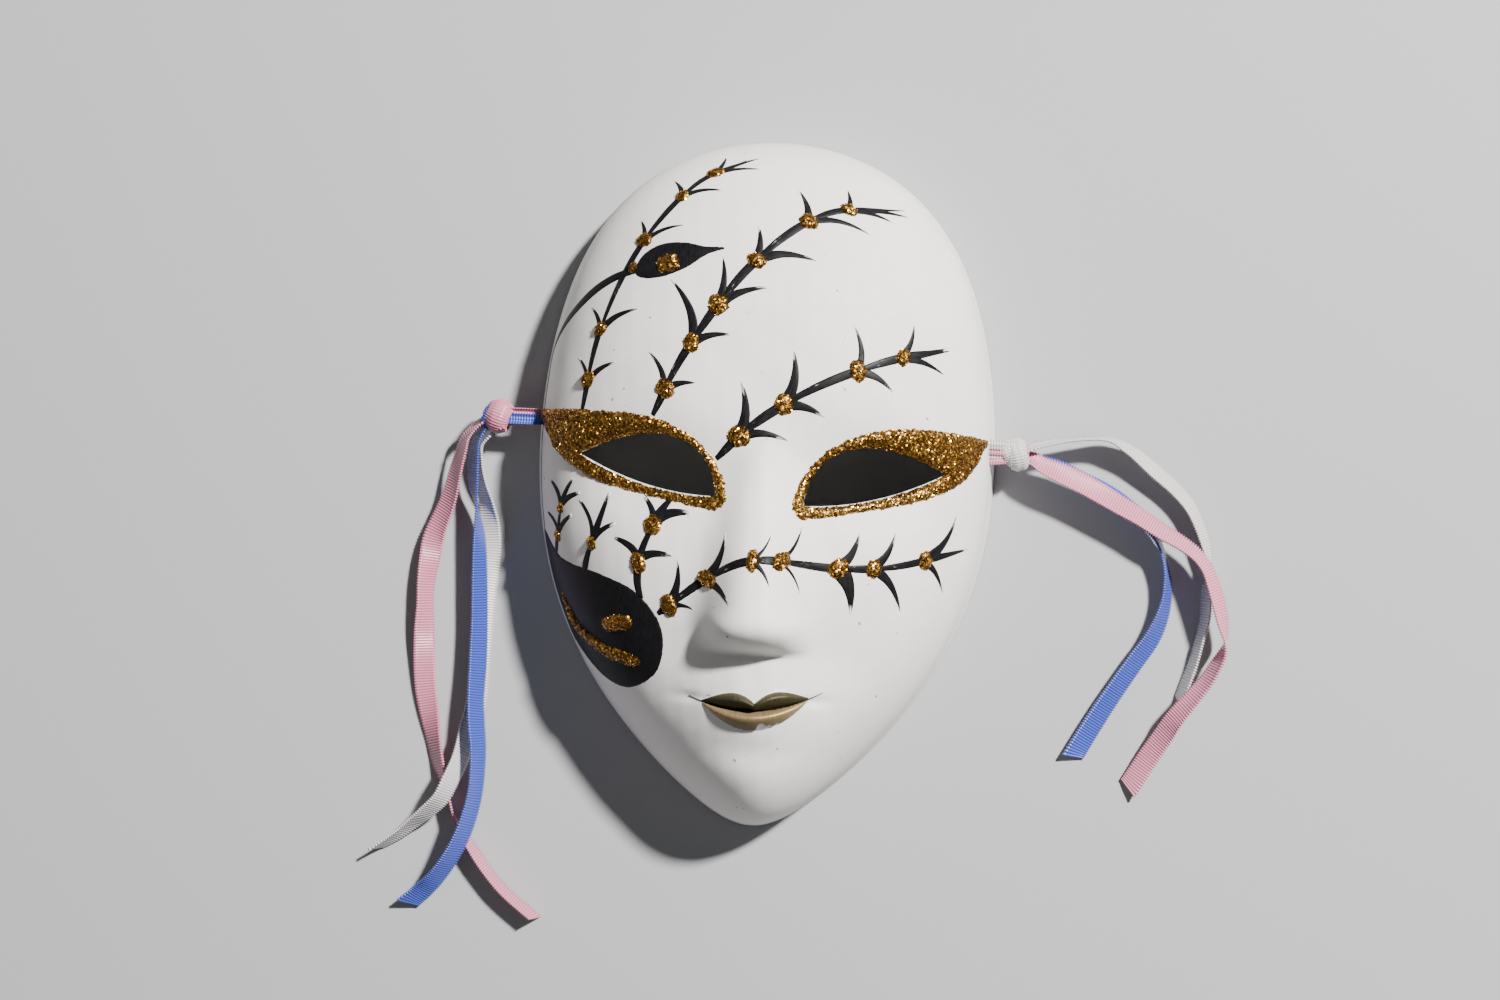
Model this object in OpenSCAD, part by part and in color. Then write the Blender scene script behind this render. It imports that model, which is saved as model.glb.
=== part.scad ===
// Venetian masquerade mask: a slip-cast ceramic face with glitter trim and ribbon ties.
// It lies face up on its rim. +X is the viewer's right, +Y is the forehead, +Z comes out of the face.

/* [Face] */
// Half of the width of the face, measured at eye level
face_half_w = 31.1; // [30.5:0.1:32]
// Half of the height of the face
face_half_h = 47.2; // [46:0.1:49]
// Share by which the outline widens from eye level towards the brow, and narrows towards the chin
egg_taper = 0.08; // [0.06:0.01:0.1]
// How much more the outline narrows at the chin itself
chin_taper = 0.26; // [0.2:0.02:0.3]
// Height of the face's surface between the eyes, above the rim, without the nose
crown_h = 24; // [22:0.5:27]
// Height of the upright side wall, from the rim up
side_wall_h = 5; // [4:0.5:6]
// Outward lean of the side wall at the rim
side_wall_lean = 0.8; // [0.4:0.1:0.9]
// Thickness of the ceramic
wall_t = 2.6; // [2.2:0.1:3]

/* [Nose and lips] */
// Height of the nose's tip above the face round it
nose_h = 6.8; // [5.6:0.2:8]
// Half of the nose's width at its ball
nose_ball_w = 5.7; // [5:0.1:6.5]
// Half of the nose's width at the bridge
nose_bridge_w = 4; // [3:0.1:4.5]
// Half of the width of the mouth
mouth_half_w = 7.3; // [6.5:0.1:8]
// Sideways slope of the hand-finished mouth
mouth_slope = 0.06; // [0:0.01:0.1]
// Fullness of the lips
lip_h = 1.4; // [0.8:0.1:1.6]

/* [Eyes] */
// Distance of the eye openings' inner corners from the middle of the face
eye_inner_x = 5.9; // [5.7:0.1:6.2]
// Place of the inner corners along the face, towards the forehead
eye_inner_y = -2.4; // [-2.6:0.1:-2.2]
// Distance of the eye openings' outer corners from the middle of the face
eye_outer_x = 24.9; // [24.6:0.1:25.1]
// Place of the outer corners along the face, towards the forehead
eye_outer_y = 2.7; // [2.5:0.1:2.9]
// Arch of the upper lid
upper_lid = 15.5; // [13:0.5:17]
// Drop of the lower lid below the line through the corners
lower_lid = 1.3; // [1:0.1:2]
// How much the left eye sits above the middle height of both, and the right eye below it
eye_shift = 0.4; // [0:0.1:0.5]

/* [Glitter] */
// Thickness of the glitter glue above the ceramic
glitter_h = 0.45; // [0.3:0.05:0.6]
// Radius of the larger glitter buds
bud_r = 1.3; // [1:0.05:1.4]

/* [Ribbon ties] */
// Radius of the ribbon hole in each side wall
hole_r = 1.9; // [1.8:0.05:2.1]
// Height of the holes above the rim
hole_z = 5.8; // [5.4:0.1:6.2]
// How far towards the forehead the left hole sits
left_hole_y = 7.9; // [7.7:0.1:8.1]
// How far towards the forehead the right hole sits
right_hole_y = 5.5; // [5.3:0.1:5.7]
// Distance of the left outer knot from the middle of the face
left_knot_x = 37.3; // [37:0.1:37.6]
// Distance of the right outer knot from the middle of the face
right_knot_x = 34.6; // [34.4:0.1:34.9]
// Radius of the outer knots
knot_r = 2.1; // [1.9:0.05:2.2]
// Width of each ribbon
ribbon_w = 3; // [2.6:0.1:3]
// Thickness that a laid ribbon takes up, with its ripples
ribbon_t = 0.5; // [0.4:0.05:0.6]

/* [Hidden] */

// Fineness of the shell: stations round it, rings outside and rings inside
around = 84;
rings_out = 26;
rings_in = 13;

// The dome of the face is a super-ellipse: these set how square its shoulders are
shoulder_side = 2.4;
shoulder_brow = 0.8;
shoulder_chin = 2;
shoulder_fall = 0.55;
// The inside follows the face's features less deeply than the outside
inner_relief = 0.72;
// How quickly the inside draws in towards the rim
inner_draw = 6;

// Soft swellings and hollows of the face, for both sides: [x, y, reach in x, reach in y, height]
SWELLINGS = [
    [14, 1, 9.5, 5.5, -1.9], // eye socket
    [12, 11.5, 10, 4, 0.2], // brow
    [0, 6, 6, 5, -0.3], // root of the nose
    [18, -13, 11, 11, 0.5], // cheek
    [11, -23, 4.5, 6, -0.5], // fold beside the nose and mouth
    [4.9, -19.4, 2.1, 2.2, 1.3], // wing of the nose
    [0, -29.3, 10, 7, 1], // mound of the mouth
    [0, -26, 1.2, 1.8, -0.22], // groove above the lips
    [8.6, -28.9, 2, 0.7, -0.35], // corner of the mouth
    [0, -36.2, 6.5, 2.4, -0.6], // hollow under the lower lip
    [0, -41.6, 8, 5.5, 0.6] // chin
];

nose_top_y = 11;
nose_tip_y = -16;
nose_base_y = -22.8;
mouth_x = 0.5;
mouth_y = -30.4;
mouth_curve = 0.028;

function total(v) = v * [for (i = v) 1];
function mix(a, b, k) = a + (b - a) * k;
function ease(k) = let (c = min(1, max(0, k))) c * c * (3 - 2 * c);

// The outline is an egg: at is the sine of the angle round it
function egg_half(at) = face_half_w * (1 + egg_taper * at + chin_taper * (pow(at, 3) - 0.35 * pow(at, 4)));
function egg(angle) = [egg_half(sin(angle)) * cos(angle), face_half_h * sin(angle)];
// How far out a point is, from 0 at the middle to 1 at the side wall
function reach(x, y, r = 0.7, n = 6) = n == 0 ? r
    : reach(x, y, max(0.02, norm([x / egg_half(min(1, max(-1, y / face_half_h / r))), y / face_half_h])),
        n - 1);

function dome(r, at) = let (square = shoulder_side + (at < 0 ? shoulder_chin : shoulder_brow) * at * at)
    side_wall_h + (crown_h - side_wall_h) * pow(max(0, 1 - pow(r, square)), shoulder_fall);
function swelling(s, x, y) = s[4] * exp(-pow((abs(x) - s[0]) / s[2], 2) - pow((y - s[1]) / s[3], 2));
// The nose rises along its ridge, turns over at the tip and falls away beneath it
function nose(x, y) = let (
        down = min(1.3, max(0, (nose_top_y - y) / (nose_top_y - nose_tip_y))),
        under = min(1, max(0, (nose_tip_y - y) / (nose_tip_y - nose_base_y))),
        half = mix(nose_bridge_w, nose_ball_w, pow(sin(90 * down), 3)))
    nose_h * pow(down, 1.3) * (1 - pow(under, 3.5)) * exp(-pow(abs(x) / half, 2 + 0.7 * down));

// The lips in their own axes, u across and v up: the line between them, the bow above and the lower edge
function mouth_line(u) = mouth_curve * u * u;
function bow(u) = let (k = min(1, abs(u) / mouth_half_w))
    mouth_line(u) + (1 - k) * (1 + 8.6 * k - 4.2 * k * k) + 0.02;
function lower_edge(u) = let (k = min(1, abs(u) / mouth_half_w)) mouth_line(u) - 2.6 * (1 - k * k) - 0.02;
function lips(u, v) = let (
        side = 1 - pow(min(1, abs(u) / mouth_half_w), 2),
        up = (v - mouth_line(u)) / (bow(u) - mouth_line(u)),
        low = (mouth_line(u) - v) / (mouth_line(u) - lower_edge(u)),
        roll = up > 0 && up < 1 ? sin(180 * pow(up, 1.7)) : low > 0 && low < 1 ? sin(180 * pow(low, 0.75)) : 0)
    lip_h * side * roll - 0.9 * side * exp(-pow((v - mouth_line(u)) / 0.4, 2));

function features(x, y) = nose(x, y) + lips(x - mouth_x, y - mouth_y - mouth_slope * (x - mouth_x))
    + total([for (s = SWELLINGS) swelling(s, x, y)]);
function face_z(x, y, relief = 1) = let (
        r = min(1, reach(x, y)),
        at = min(1, max(-1, y / face_half_h / max(r, 0.02))))
    dome(r, at) + relief * features(x, y) * (1 - pow(r, 8));
function face_point(p, lift = 0) = [p[0], p[1], face_z(p[0], p[1]) + lift];
function face_normal(p, d = 0.2) = [
    (face_z(p[0] - d, p[1]) - face_z(p[0] + d, p[1])) / 2 / d,
    (face_z(p[0], p[1] - d) - face_z(p[0], p[1] + d)) / 2 / d, 1];

// One point of the shell's outside or inside, at share r of the way out and at an angle round it
function outside(r, angle) = let (p = egg(angle) * r)
    [p[0], p[1], dome(r, sin(angle)) + features(p[0], p[1]) * (1 - pow(r, 8))];
function inside(r, angle) = let (p = egg(angle) * r, in = wall_t * pow(r, inner_draw))
    [p[0] - in * cos(angle), p[1] - in * sin(angle),
        dome(r, sin(angle)) - wall_t + inner_relief * features(p[0], p[1]) * (1 - pow(r, 8))];
function foot(out, angle) = concat(egg(angle) + out * [cos(angle), sin(angle)], 0);
function turn(i) = 360 * i / around;

// Points on a smooth curve through a list of points, k from 0 to 1 along it
function pick(points, i) = points[min(len(points) - 1, max(0, i))];
function along(points, k) = let (
        at = min(k, 0.9999) * (len(points) - 1), i = floor(at), f = at - i,
        a = pick(points, i - 1), b = pick(points, i), c = pick(points, i + 1), d = pick(points, i + 2))
    0.5 * (2 * b + (c - a) * f + (2 * a - 5 * b + 4 * c - d) * f * f + (3 * b - 3 * c + d - a) * pow(f, 3));

// The almond eye opening: the right one, k from 0 at the inner corner to 1 at the outer
function eye_line(k) = mix([eye_inner_x, eye_inner_y], [eye_outer_x, eye_outer_y], k);
function eye_upper(k) = eye_line(k) + [0, upper_lid * pow(k, 0.45) * (1 - k)];
function eye_lower(k) = eye_line(k) - [0, lower_lid * 4 * k * (1 - k)];
eye_steps = 14;
EYE = concat([for (i = [0 : eye_steps]) eye_upper(pow(i / eye_steps, 1.5))],
    [for (i = [eye_steps - 1 : -1 : 1]) eye_lower(i / eye_steps)]);

// Outer edge of the glitter band round the right eye, above and below the opening
BAND_ABOVE = [[5.6, -4.3], [4.4, -2.6], [5.6, 1.3], [8.8, 5], [13.6, 7.5], [19, 8.4], [24.8, 8.3], [30.6, 7.6]];
BAND_BELOW = [[5.6, -4.3], [8.6, -3.9], [12.1, -3.2], [15.9, -2.5], [19.8, -1.6], [24.2, -0.1], [28, 2.6],
    [30.6, 7.6]];

// Stems of the painted twigs, and how far along each its glitter buds sit
OUTER_TWIG = [[-24.8, 8.6], [-22.8, 19.5], [-18, 31], [-11, 40], [-4, 44]];
MIDDLE_TWIG = [[-14.8, 8.5], [-10.5, 17.5], [-2.5, 29], [7, 36.5], [18, 38]];
BROW_TWIG = [[-6, 3], [-1.5, 7.5], [6, 12.5], [15, 16.5], [24.5, 19.3]];
CHEEK_TWIG = [[-13, -18], [-6.5, -13], [0, -10.2], [10, -10.9], [18, -10.5], [27, -8.2]];
OUTER_BUDS = [0.12, 0.26, 0.53, 0.7, 0.84];
MIDDLE_BUDS = [0.12, 0.27, 0.38, 0.52, 0.7, 0.82];
BROW_BUDS = [0.18, 0.4, 0.68, 0.83];
CHEEK_BUDS = [0.06, 0.2, 0.39, 0.47, 0.62, 0.74, 0.89];
// Buds of the three small sprigs under the left eye
SPRIG_BUDS = [[-27.4, -4.5], [-27.7, -8.2], [-22.6, -9], [-15.9, -11.3], [-14.2, -6.2]];

// Routes of the free ribbons, from the knot to the cut end: x, y, height and how far the ribbon rolls about
// its own line, in degrees. Past 90 its other face is up.
LEFT_PINK = [[-39.7, 7, 5.6, -68], [-41.7, 5, 4.8, -63], [-42.5, 2.7, 4.2, -57], [-43.2, 0.2, 3.6, -50],
    [-44.2, -4.1, 2.8, -39], [-45.9, -8.5, 2, -20], [-46.5, -11.2, 1.7, 15], [-47, -15.7, 1.6, 45],
    [-47, -19, 1.6, 48], [-47, -23.9, 1.2, 22], [-46.7, -29.5, 0.8, 0], [-46.1, -33, 0.9, -15],
    [-45.2, -37.2, 1.3, -42], [-44.2, -41.3, 1.6, -55], [-42.4, -46.9, 1.8, -77], [-40.6, -50.4, 1.8, -95],
    [-39, -52.7, 1.7, -106], [-36.9, -55.6, 1.6, -107], [-34.1, -58.7, 1.6, -107],
    [-29.8, -62.2, 1.5, -107]];
LEFT_BLUE = [[-39.2, 6.2, 5.3, -62], [-40.3, 4.3, 4.6, -64], [-40.7, 1.7, 4.2, -58],
    [-40.6, -1.8, 3.8, -62], [-40, -5.3, 3.4, -88], [-39.6, -9.5, 3, -116], [-39.4, -15.1, 2.8, -126],
    [-39.2, -20.7, 2.7, -130], [-39.1, -26.3, 2.9, -136], [-39.1, -31.8, 3.5, -130],
    [-38.8, -35.3, 4.2, -132], [-38.4, -38.7, 4.5, -127], [-38.4, -42.9, 4.8, -123],
    [-38.8, -46.1, 4.9, -125], [-39.9, -50.2, 5.1, -130], [-41.7, -54, 4.3, -132],
    [-43.9, -57.2, 3, -136], [-45.9, -59.2, 1.8, -142], [-47.8, -60.9, 1.3, -146]];
LEFT_WHITE = [[-38.3, 5.6, 4.7, -70], [-39.8, 3.8, 3.6, -70], [-40, 1, 2.8, -65], [-39.6, -1.8, 2.2, -58],
    [-38.9, -4.5, 1.7, -42], [-38.4, -8, 1, -12], [-38.3, -11.6, 0.7, 8], [-38.7, -17.9, 0.8, 18],
    [-39, -25, 1, 25], [-39.3, -32, 1.3, 32], [-40.1, -35.9, 1.9, 40], [-40.9, -39.9, 3, 45],
    [-42.1, -43.2, 4.7, 46], [-43.3, -45.7, 4.8, 49], [-45.5, -47.9, 3.8, 55], [-47.7, -49.8, 2.6, 64],
    [-49.8, -51.5, 2, 68], [-52.6, -53.4, 1.6, 76]];
RIGHT_WHITE = [[36.9, 6.5, 6.2, 66], [38.2, 7, 6, 70], [40.6, 7.6, 5.5, 78], [43.4, 8, 4.8, 82],
    [46.3, 8.2, 4, 82], [48, 8, 3.5, 75], [49.4, 7.4, 3.1, 66], [51.4, 6.3, 2.6, 56], [54.1, 4.2, 2.1, 50],
    [57.1, 1.8, 1.8, 52], [59.3, -0.6, 1.7, 55], [60.7, -3.2, 1.7, 58], [61.9, -6.6, 1.7, 64],
    [62.4, -9.1, 1.7, 82], [62.1, -12.2, 1.7, 108], [62, -16.3, 1.7, 110], [61.4, -19.2, 1.7, 105],
    [60.8, -22, 1.7, 106], [59.9, -24.8, 1.7, 108], [58.9, -27.8, 1.7, 108]];
RIGHT_PINK = [[37.1, 4.9, 5.6, 30], [38.6, 4, 5.6, 32], [40.8, 3.2, 5.6, 25], [43.7, 2, 5.4, 22],
    [46.5, 0.6, 5.2, 26], [49.3, -0.9, 5, 33], [52.2, -2.4, 4.9, 39], [55, -4.1, 4.8, 44],
    [57.8, -5.6, 4.8, 50], [60.2, -7.3, 4.9, 54], [61.7, -9.2, 4.9, 56], [62.6, -11.4, 4.9, 52],
    [63.4, -13.8, 4.8, 50], [64.1, -16.4, 4.7, 56], [64.6, -18.9, 4.6, 76], [64.3, -20.7, 4.5, 106],
    [63.5, -22.4, 4.6, 115], [62.2, -24.7, 4.7, 122], [60.2, -27.4, 4.6, 130], [58.3, -30, 4, 139],
    [56.8, -32.7, 2.8, 148], [54.9, -35.9, 1.8, 156], [52.4, -40.3, 0.9, 160]];
RIGHT_BLUE = [[37.1, 4.8, 4.5, 30], [38.6, 4.3, 4.5, 32], [40.9, 3.5, 4.4, 27], [43.7, 2.2, 4.1, 26],
    [46.6, 1, 3.9, 28], [49.4, -0.5, 3.6, 34], [52.3, -2.5, 3.3, 46], [54.1, -4.1, 3, 60],
    [55.4, -6.3, 2.6, 76], [56.3, -9.1, 2.2, 75], [56.6, -11.7, 1.9, 68], [56.5, -14.1, 1.8, 60],
    [55.8, -16.9, 1.6, 49], [54.6, -19.6, 1.4, 40], [52.9, -22.2, 1.3, 36], [50.7, -25.7, 1.2, 33],
    [48.5, -29.3, 1, 28], [46.3, -33.1, 0.9, 23], [44.5, -36.3, 0.9, 20]];

neck_r = 0.55;
inner_knot_r = 2.4;
knot_z = hole_z - 0.4;
knot_h = 4.4;

white_ceramic = "#ebe8e3";
gold_glitter = "#b07c1e";
pink_satin = "#ee9fb4";
blue_satin = "#5f72d8";
white_satin = "#e6e2dc";

// A closed loft through rings of points, each ring of the same length
module loft(rings, loop = false) {
    n = len(rings[0]);
    last = len(rings) - 1;
    polyhedron(
        points = [for (ring = rings) each ring],
        faces = concat(
            [for (i = [0 : loop ? last : last - 1], j = [0 : n - 1])
                let (a = i * n, b = (i + 1) % (last + 1) * n, k = (j + 1) % n)
                each [[a + j, b + j, a + k], [a + k, b + j, b + k]]],
            loop ? [] : [[for (j = [0 : n - 1]) j], [for (j = [n - 1 : -1 : 0]) last * n + j]]),
        convexity = 10);
}

module shell_blank() {
    small = 0.012;
    loft(concat(
        [for (i = [0 : rings_out]) let (r = i == 0 ? small : sin(90 * i / rings_out))
            [for (j = [around - 1 : -1 : 0]) outside(r, turn(j))]],
        [[for (j = [around - 1 : -1 : 0]) foot(side_wall_lean, turn(j))]],
        [[for (j = [around - 1 : -1 : 0]) foot(side_wall_lean - wall_t, turn(j))]],
        [for (i = [rings_in : -1 : 0]) let (r = i == 0 ? small : sin(90 * i / rings_in))
            [for (j = [around - 1 : -1 : 0]) inside(r, turn(j))]]));
}

module eye_cutter() {
    linear_extrude(height = crown_h + nose_h + 10) polygon(EYE);
}

module hole_cutter(y) {
    translate([face_half_w - 8, y, hole_z]) rotate([0, 90, 0]) cylinder(r = hole_r, h = 14, $fn = 48);
}

module mask_shell() {
    color(white_ceramic) difference() {
        shell_blank();
        translate([0, -eye_shift, 0]) eye_cutter();
        translate([0, eye_shift, 0]) mirror([1, 0, 0]) eye_cutter();
        hole_cutter(right_hole_y);
        mirror([1, 0, 0]) hole_cutter(left_hole_y);
    }
}

// A pad of glitter glue laid on the face between two edges, given as lists of matching points
module glue_pad(edge_a, edge_b, loop = false) {
    sunk = -0.3;
    feather = 0.15;
    loft([for (i = [0 : len(edge_a) - 1]) let (a = edge_a[i], b = edge_b[i]) [
        face_point(a, feather), face_point(mix(b, a, 0.7), glitter_h), face_point(mix(b, a, 0.3), glitter_h),
        face_point(b, feather), face_point(b, sunk), face_point(a, sunk)
    ]], loop);
}

module eye_glitter(shift) {
    steps = 20;
    gap = 0.1;
    above = [for (i = [0 : steps]) let (k = i / steps, outer = along(BAND_ABOVE, k))
        [outer, mix(eye_upper(pow(k, 1.4)), outer, gap)]];
    below = [for (i = [steps - 1 : -1 : 1]) let (k = i / steps, outer = along(BAND_BELOW, k))
        [outer, mix(eye_lower(k), outer, gap)]];
    band = concat(above, below);
    color(gold_glitter)
        glue_pad([for (s = band) s[0] + [0, shift]], [for (s = band) s[1] + [0, shift]], loop = true);
}

module right_eye_glitter() eye_glitter(-eye_shift);
module left_eye_glitter() mirror([1, 0, 0]) eye_glitter(eye_shift);

// A bud is a flat drop of glitter glue set square to the face
module bud(p, r) {
    n = face_normal(p);
    sunk = 0.5;
    translate(face_point(p)) rotate([0, acos(1 / norm(n)), atan2(n[1], n[0])])
        translate([0, 0, -sunk]) cylinder(r = r, h = sunk + glitter_h, $fn = 24);
}

module twig_buds(stem, places) {
    color(gold_glitter) for (i = [0 : len(places) - 1]) bud(along(stem, places[i]), bud_r - 0.15 * (i % 2));
}

module outer_forehead_buds() twig_buds(OUTER_TWIG, OUTER_BUDS);
module middle_forehead_buds() twig_buds(MIDDLE_TWIG, MIDDLE_BUDS);
module brow_buds() twig_buds(BROW_TWIG, BROW_BUDS);
module cheek_buds() twig_buds(CHEEK_TWIG, CHEEK_BUDS);
module sprig_buds() {
    color(gold_glitter) for (i = [0 : len(SPRIG_BUDS) - 1]) bud(SPRIG_BUDS[i], i < 3 ? 0.8 : 1.15);
}

// A glitter mark along a curve, widest at its middle
module mark(spine, half, steps = 12) {
    stations = [for (i = [0 : steps]) let (
            k = i / steps,
            p = along(spine, k),
            q = along(spine, min(1, k + 0.02)) - along(spine, max(0, k - 0.02)),
            side = [-q[1], q[0]] / norm(q) * max(0.12, half * sqrt(1 - pow(2 * k - 1, 2))))
        [p + side, p - side]];
    color(gold_glitter) glue_pad([for (s = stations) s[0]], [for (s = stations) s[1]]);
}

module teardrop_oval_glitter() mark([[-20.7, -19.9], [-18.6, -19.6], [-16.5, -19.3]], 1.2);
module teardrop_crescent_glitter() mark([[-26, -17.5], [-24, -20.9], [-20.2, -23.5], [-15.2, -24.9]], 0.85);
// The glitter on the painted leaf, with a small bud at its root
module leaf_oval_glitter() {
    mark([[-15.2, 28.6], [-13.7, 29], [-12.2, 29.4]], 1.2);
    color(gold_glitter) bud([-18.6, 28.4], 0.75);
}

// The outer knot is round about Z, so that the tails can swing about it
module outer_knot(x, y) {
    turns = 10;
    translate([x, y, knot_z]) rotate_extrude($fn = 48) polygon(concat([[0, -knot_h / 2]],
        [for (i = [1 : turns - 1]) let (a = 180 * i / turns - 90) [knot_r * cos(a), knot_h / 2 * sin(a)]],
        [[0, knot_h / 2]]));
}

module inner_knot(x, y) {
    translate([x, y, hole_z]) sphere(r = inner_knot_r, $fn = 48);
}

inner_knot_x = face_half_w - wall_t - inner_knot_r - 0.8;

// One ribbon of the three that are drawn together through a hole, from knot to knot
module neck(side, knot_x, y, place) {
    spread = 0.72;
    translate([side * inner_knot_x, y + spread * cos(place), hole_z + spread * sin(place)])
        rotate([0, side * 90, 0]) cylinder(r = neck_r, h = knot_x - inner_knot_x, $fn = 24);
}

module left_inner_knot() color(white_satin) inner_knot(-inner_knot_x, left_hole_y);
module right_inner_knot() color(white_satin) inner_knot(inner_knot_x, right_hole_y);
module left_outer_knot() color(pink_satin) outer_knot(-left_knot_x, left_hole_y);
module right_outer_knot() color(white_satin) outer_knot(right_knot_x, right_hole_y);
module left_pink_neck() color(pink_satin) neck(-1, left_knot_x, left_hole_y, 20);
module left_blue_neck() color(blue_satin) neck(-1, left_knot_x, left_hole_y, 140);
module left_white_neck() color(white_satin) neck(-1, left_knot_x, left_hole_y, 260);
module right_pink_neck() color(pink_satin) neck(1, right_knot_x, right_hole_y, 160);
module right_blue_neck() color(blue_satin) neck(1, right_knot_x, right_hole_y, 280);
module right_white_neck() color(white_satin) neck(1, right_knot_x, right_hole_y, 40);

// A free ribbon: a flat eight-sided tube swept along the route's own points
module ribbon(route) {
    last = len(route) - 1;
    w = ribbon_w / 2;
    t = ribbon_t / 2;
    section = [
        [w, -t / 2], [w - t, -t], [t - w, -t], [-w, -t / 2],
        [-w, t / 2], [t - w, t], [w - t, t], [w, t / 2]];
    spots = [for (p = route) [p[0], p[1], p[2]]];
    loft([for (i = [0 : last]) let (
            way = spots[min(last, i + 1)] - spots[max(0, i - 1)],
            level = [way[1], -way[0], 0] / norm([way[0], way[1]]),
            up = cross(level, way / norm(way)),
            roll = route[i][3],
            side = level * cos(roll) + up * sin(roll),
            top = up * cos(roll) - level * sin(roll))
        [for (s = section) spots[i] + side * s[0] + top * s[1]]]);
}

module left_pink_ribbon() color(pink_satin) ribbon(LEFT_PINK);
module left_blue_ribbon() color(blue_satin) ribbon(LEFT_BLUE);
module left_white_ribbon() color(white_satin) ribbon(LEFT_WHITE);
module right_pink_ribbon() color(pink_satin) ribbon(RIGHT_PINK);
module right_blue_ribbon() color(blue_satin) ribbon(RIGHT_BLUE);
module right_white_ribbon() color(white_satin) ribbon(RIGHT_WHITE);

mask_shell();
left_eye_glitter();
right_eye_glitter();
outer_forehead_buds();
middle_forehead_buds();
brow_buds();
cheek_buds();
sprig_buds();
teardrop_oval_glitter();
teardrop_crescent_glitter();
leaf_oval_glitter();
left_inner_knot();
left_outer_knot();
left_pink_neck();
left_blue_neck();
left_white_neck();
left_pink_ribbon();
left_blue_ribbon();
left_white_ribbon();
right_inner_knot();
right_outer_knot();
right_pink_neck();
right_blue_neck();
right_white_neck();
right_pink_ribbon();
right_blue_ribbon();
right_white_ribbon();
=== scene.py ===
import math

import bmesh
import bpy
import numpy as np
from mathutils import Matrix, Vector
from mathutils.geometry import delaunay_2d_cdt


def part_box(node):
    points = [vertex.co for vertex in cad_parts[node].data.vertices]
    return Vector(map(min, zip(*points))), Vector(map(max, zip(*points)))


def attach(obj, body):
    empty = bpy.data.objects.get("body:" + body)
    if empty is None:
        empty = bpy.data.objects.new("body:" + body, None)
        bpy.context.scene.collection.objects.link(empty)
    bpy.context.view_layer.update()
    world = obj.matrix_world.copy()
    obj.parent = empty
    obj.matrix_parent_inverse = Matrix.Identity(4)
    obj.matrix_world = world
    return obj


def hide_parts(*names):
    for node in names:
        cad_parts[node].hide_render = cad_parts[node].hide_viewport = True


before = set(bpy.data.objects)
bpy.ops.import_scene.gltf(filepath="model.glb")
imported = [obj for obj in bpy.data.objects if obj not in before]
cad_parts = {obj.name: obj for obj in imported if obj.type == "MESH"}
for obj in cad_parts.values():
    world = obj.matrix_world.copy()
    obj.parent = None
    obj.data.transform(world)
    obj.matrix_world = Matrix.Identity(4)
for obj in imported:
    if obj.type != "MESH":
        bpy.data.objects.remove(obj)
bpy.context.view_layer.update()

# A small ceramic masquerade mask lying on its rim. Forms are worked out in millimetres and written in metres.
MM = 0.001
draw = np.random.default_rng(11)

# ---------------- camera, light and floor

CAMERA_LENS = 75
CAMERA_AWAY = 0.434
CAMERA_TILT = math.radians(2.0)
CAMERA_ROLL = math.radians(2.4)
CAMERA_AIM = Vector((-0.0019, -0.0023, 0.0051))
LIGHT_AIM = Vector((0, 0, 0.01))
FLOOR_HALF = 3.0


def put(name, data):
    """An object with this data, in the scene."""
    made = bpy.data.objects.new(name, data)
    bpy.context.scene.collection.objects.link(made)
    return made


def make_camera():
    """Nearly straight above the mask, a little to its right, turned so that the mask leans clockwise."""
    back = Vector((math.sin(CAMERA_TILT), 0, math.cos(CAMERA_TILT)))
    level = Vector((math.cos(CAMERA_TILT), 0, -math.sin(CAMERA_TILT)))
    north = Vector((0, 1, 0))
    right = level * math.cos(CAMERA_ROLL) + north * math.sin(CAMERA_ROLL)
    up = north * math.cos(CAMERA_ROLL) - level * math.sin(CAMERA_ROLL)
    camera = put("camera", bpy.data.cameras.new("camera"))
    camera.data.lens = CAMERA_LENS
    camera.data.clip_start = 0.01
    turned = Matrix((right, up, back)).transposed().to_4x4()
    camera.matrix_world = Matrix.Translation(CAMERA_AIM + back * CAMERA_AWAY) @ turned
    bpy.context.scene.camera = camera


def make_light(name, place, size, power, colour=(1, 1, 1)):
    """A round soft light that faces the mask."""
    light = bpy.data.lights.new(name, "AREA")
    light.shape = "DISK"
    light.size = size
    light.energy = power
    light.color = colour
    lamp = put(name, light)
    lamp.location = place
    lamp.rotation_euler = (LIGHT_AIM - Vector(place)).to_track_quat("-Z", "Y").to_euler()


def make_floor():
    mesh = bpy.data.meshes.new("floor")
    corners = [(x * FLOOR_HALF, y * FLOOR_HALF, 0) for x, y in ((-1, -1), (1, -1), (1, 1), (-1, 1))]
    mesh.from_pydata(corners, [], [(0, 1, 2, 3)])
    floor = put("floor", mesh)
    tree, shader = new_material("floor")
    wire(tree, shader, Base_Color=(0.40, 0.405, 0.415, 1), Roughness=0.8)
    mesh.materials.append(LOOKS["floor"])


def make_world():
    world = bpy.data.worlds.new("world")
    world.use_nodes = True
    wire(world.node_tree, world.node_tree.nodes["Background"], Color=(0.92, 0.95, 1, 1), Strength=0.11)
    bpy.context.scene.world = world


# ---------------- materials

# This script's own materials by name: the frame's materials can carry the same names
LOOKS = {}


def new_material(name):
    made = bpy.data.materials.new(name)
    made.use_nodes = True
    LOOKS[name] = made
    return made.node_tree, made.node_tree.nodes["Principled BSDF"]


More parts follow.
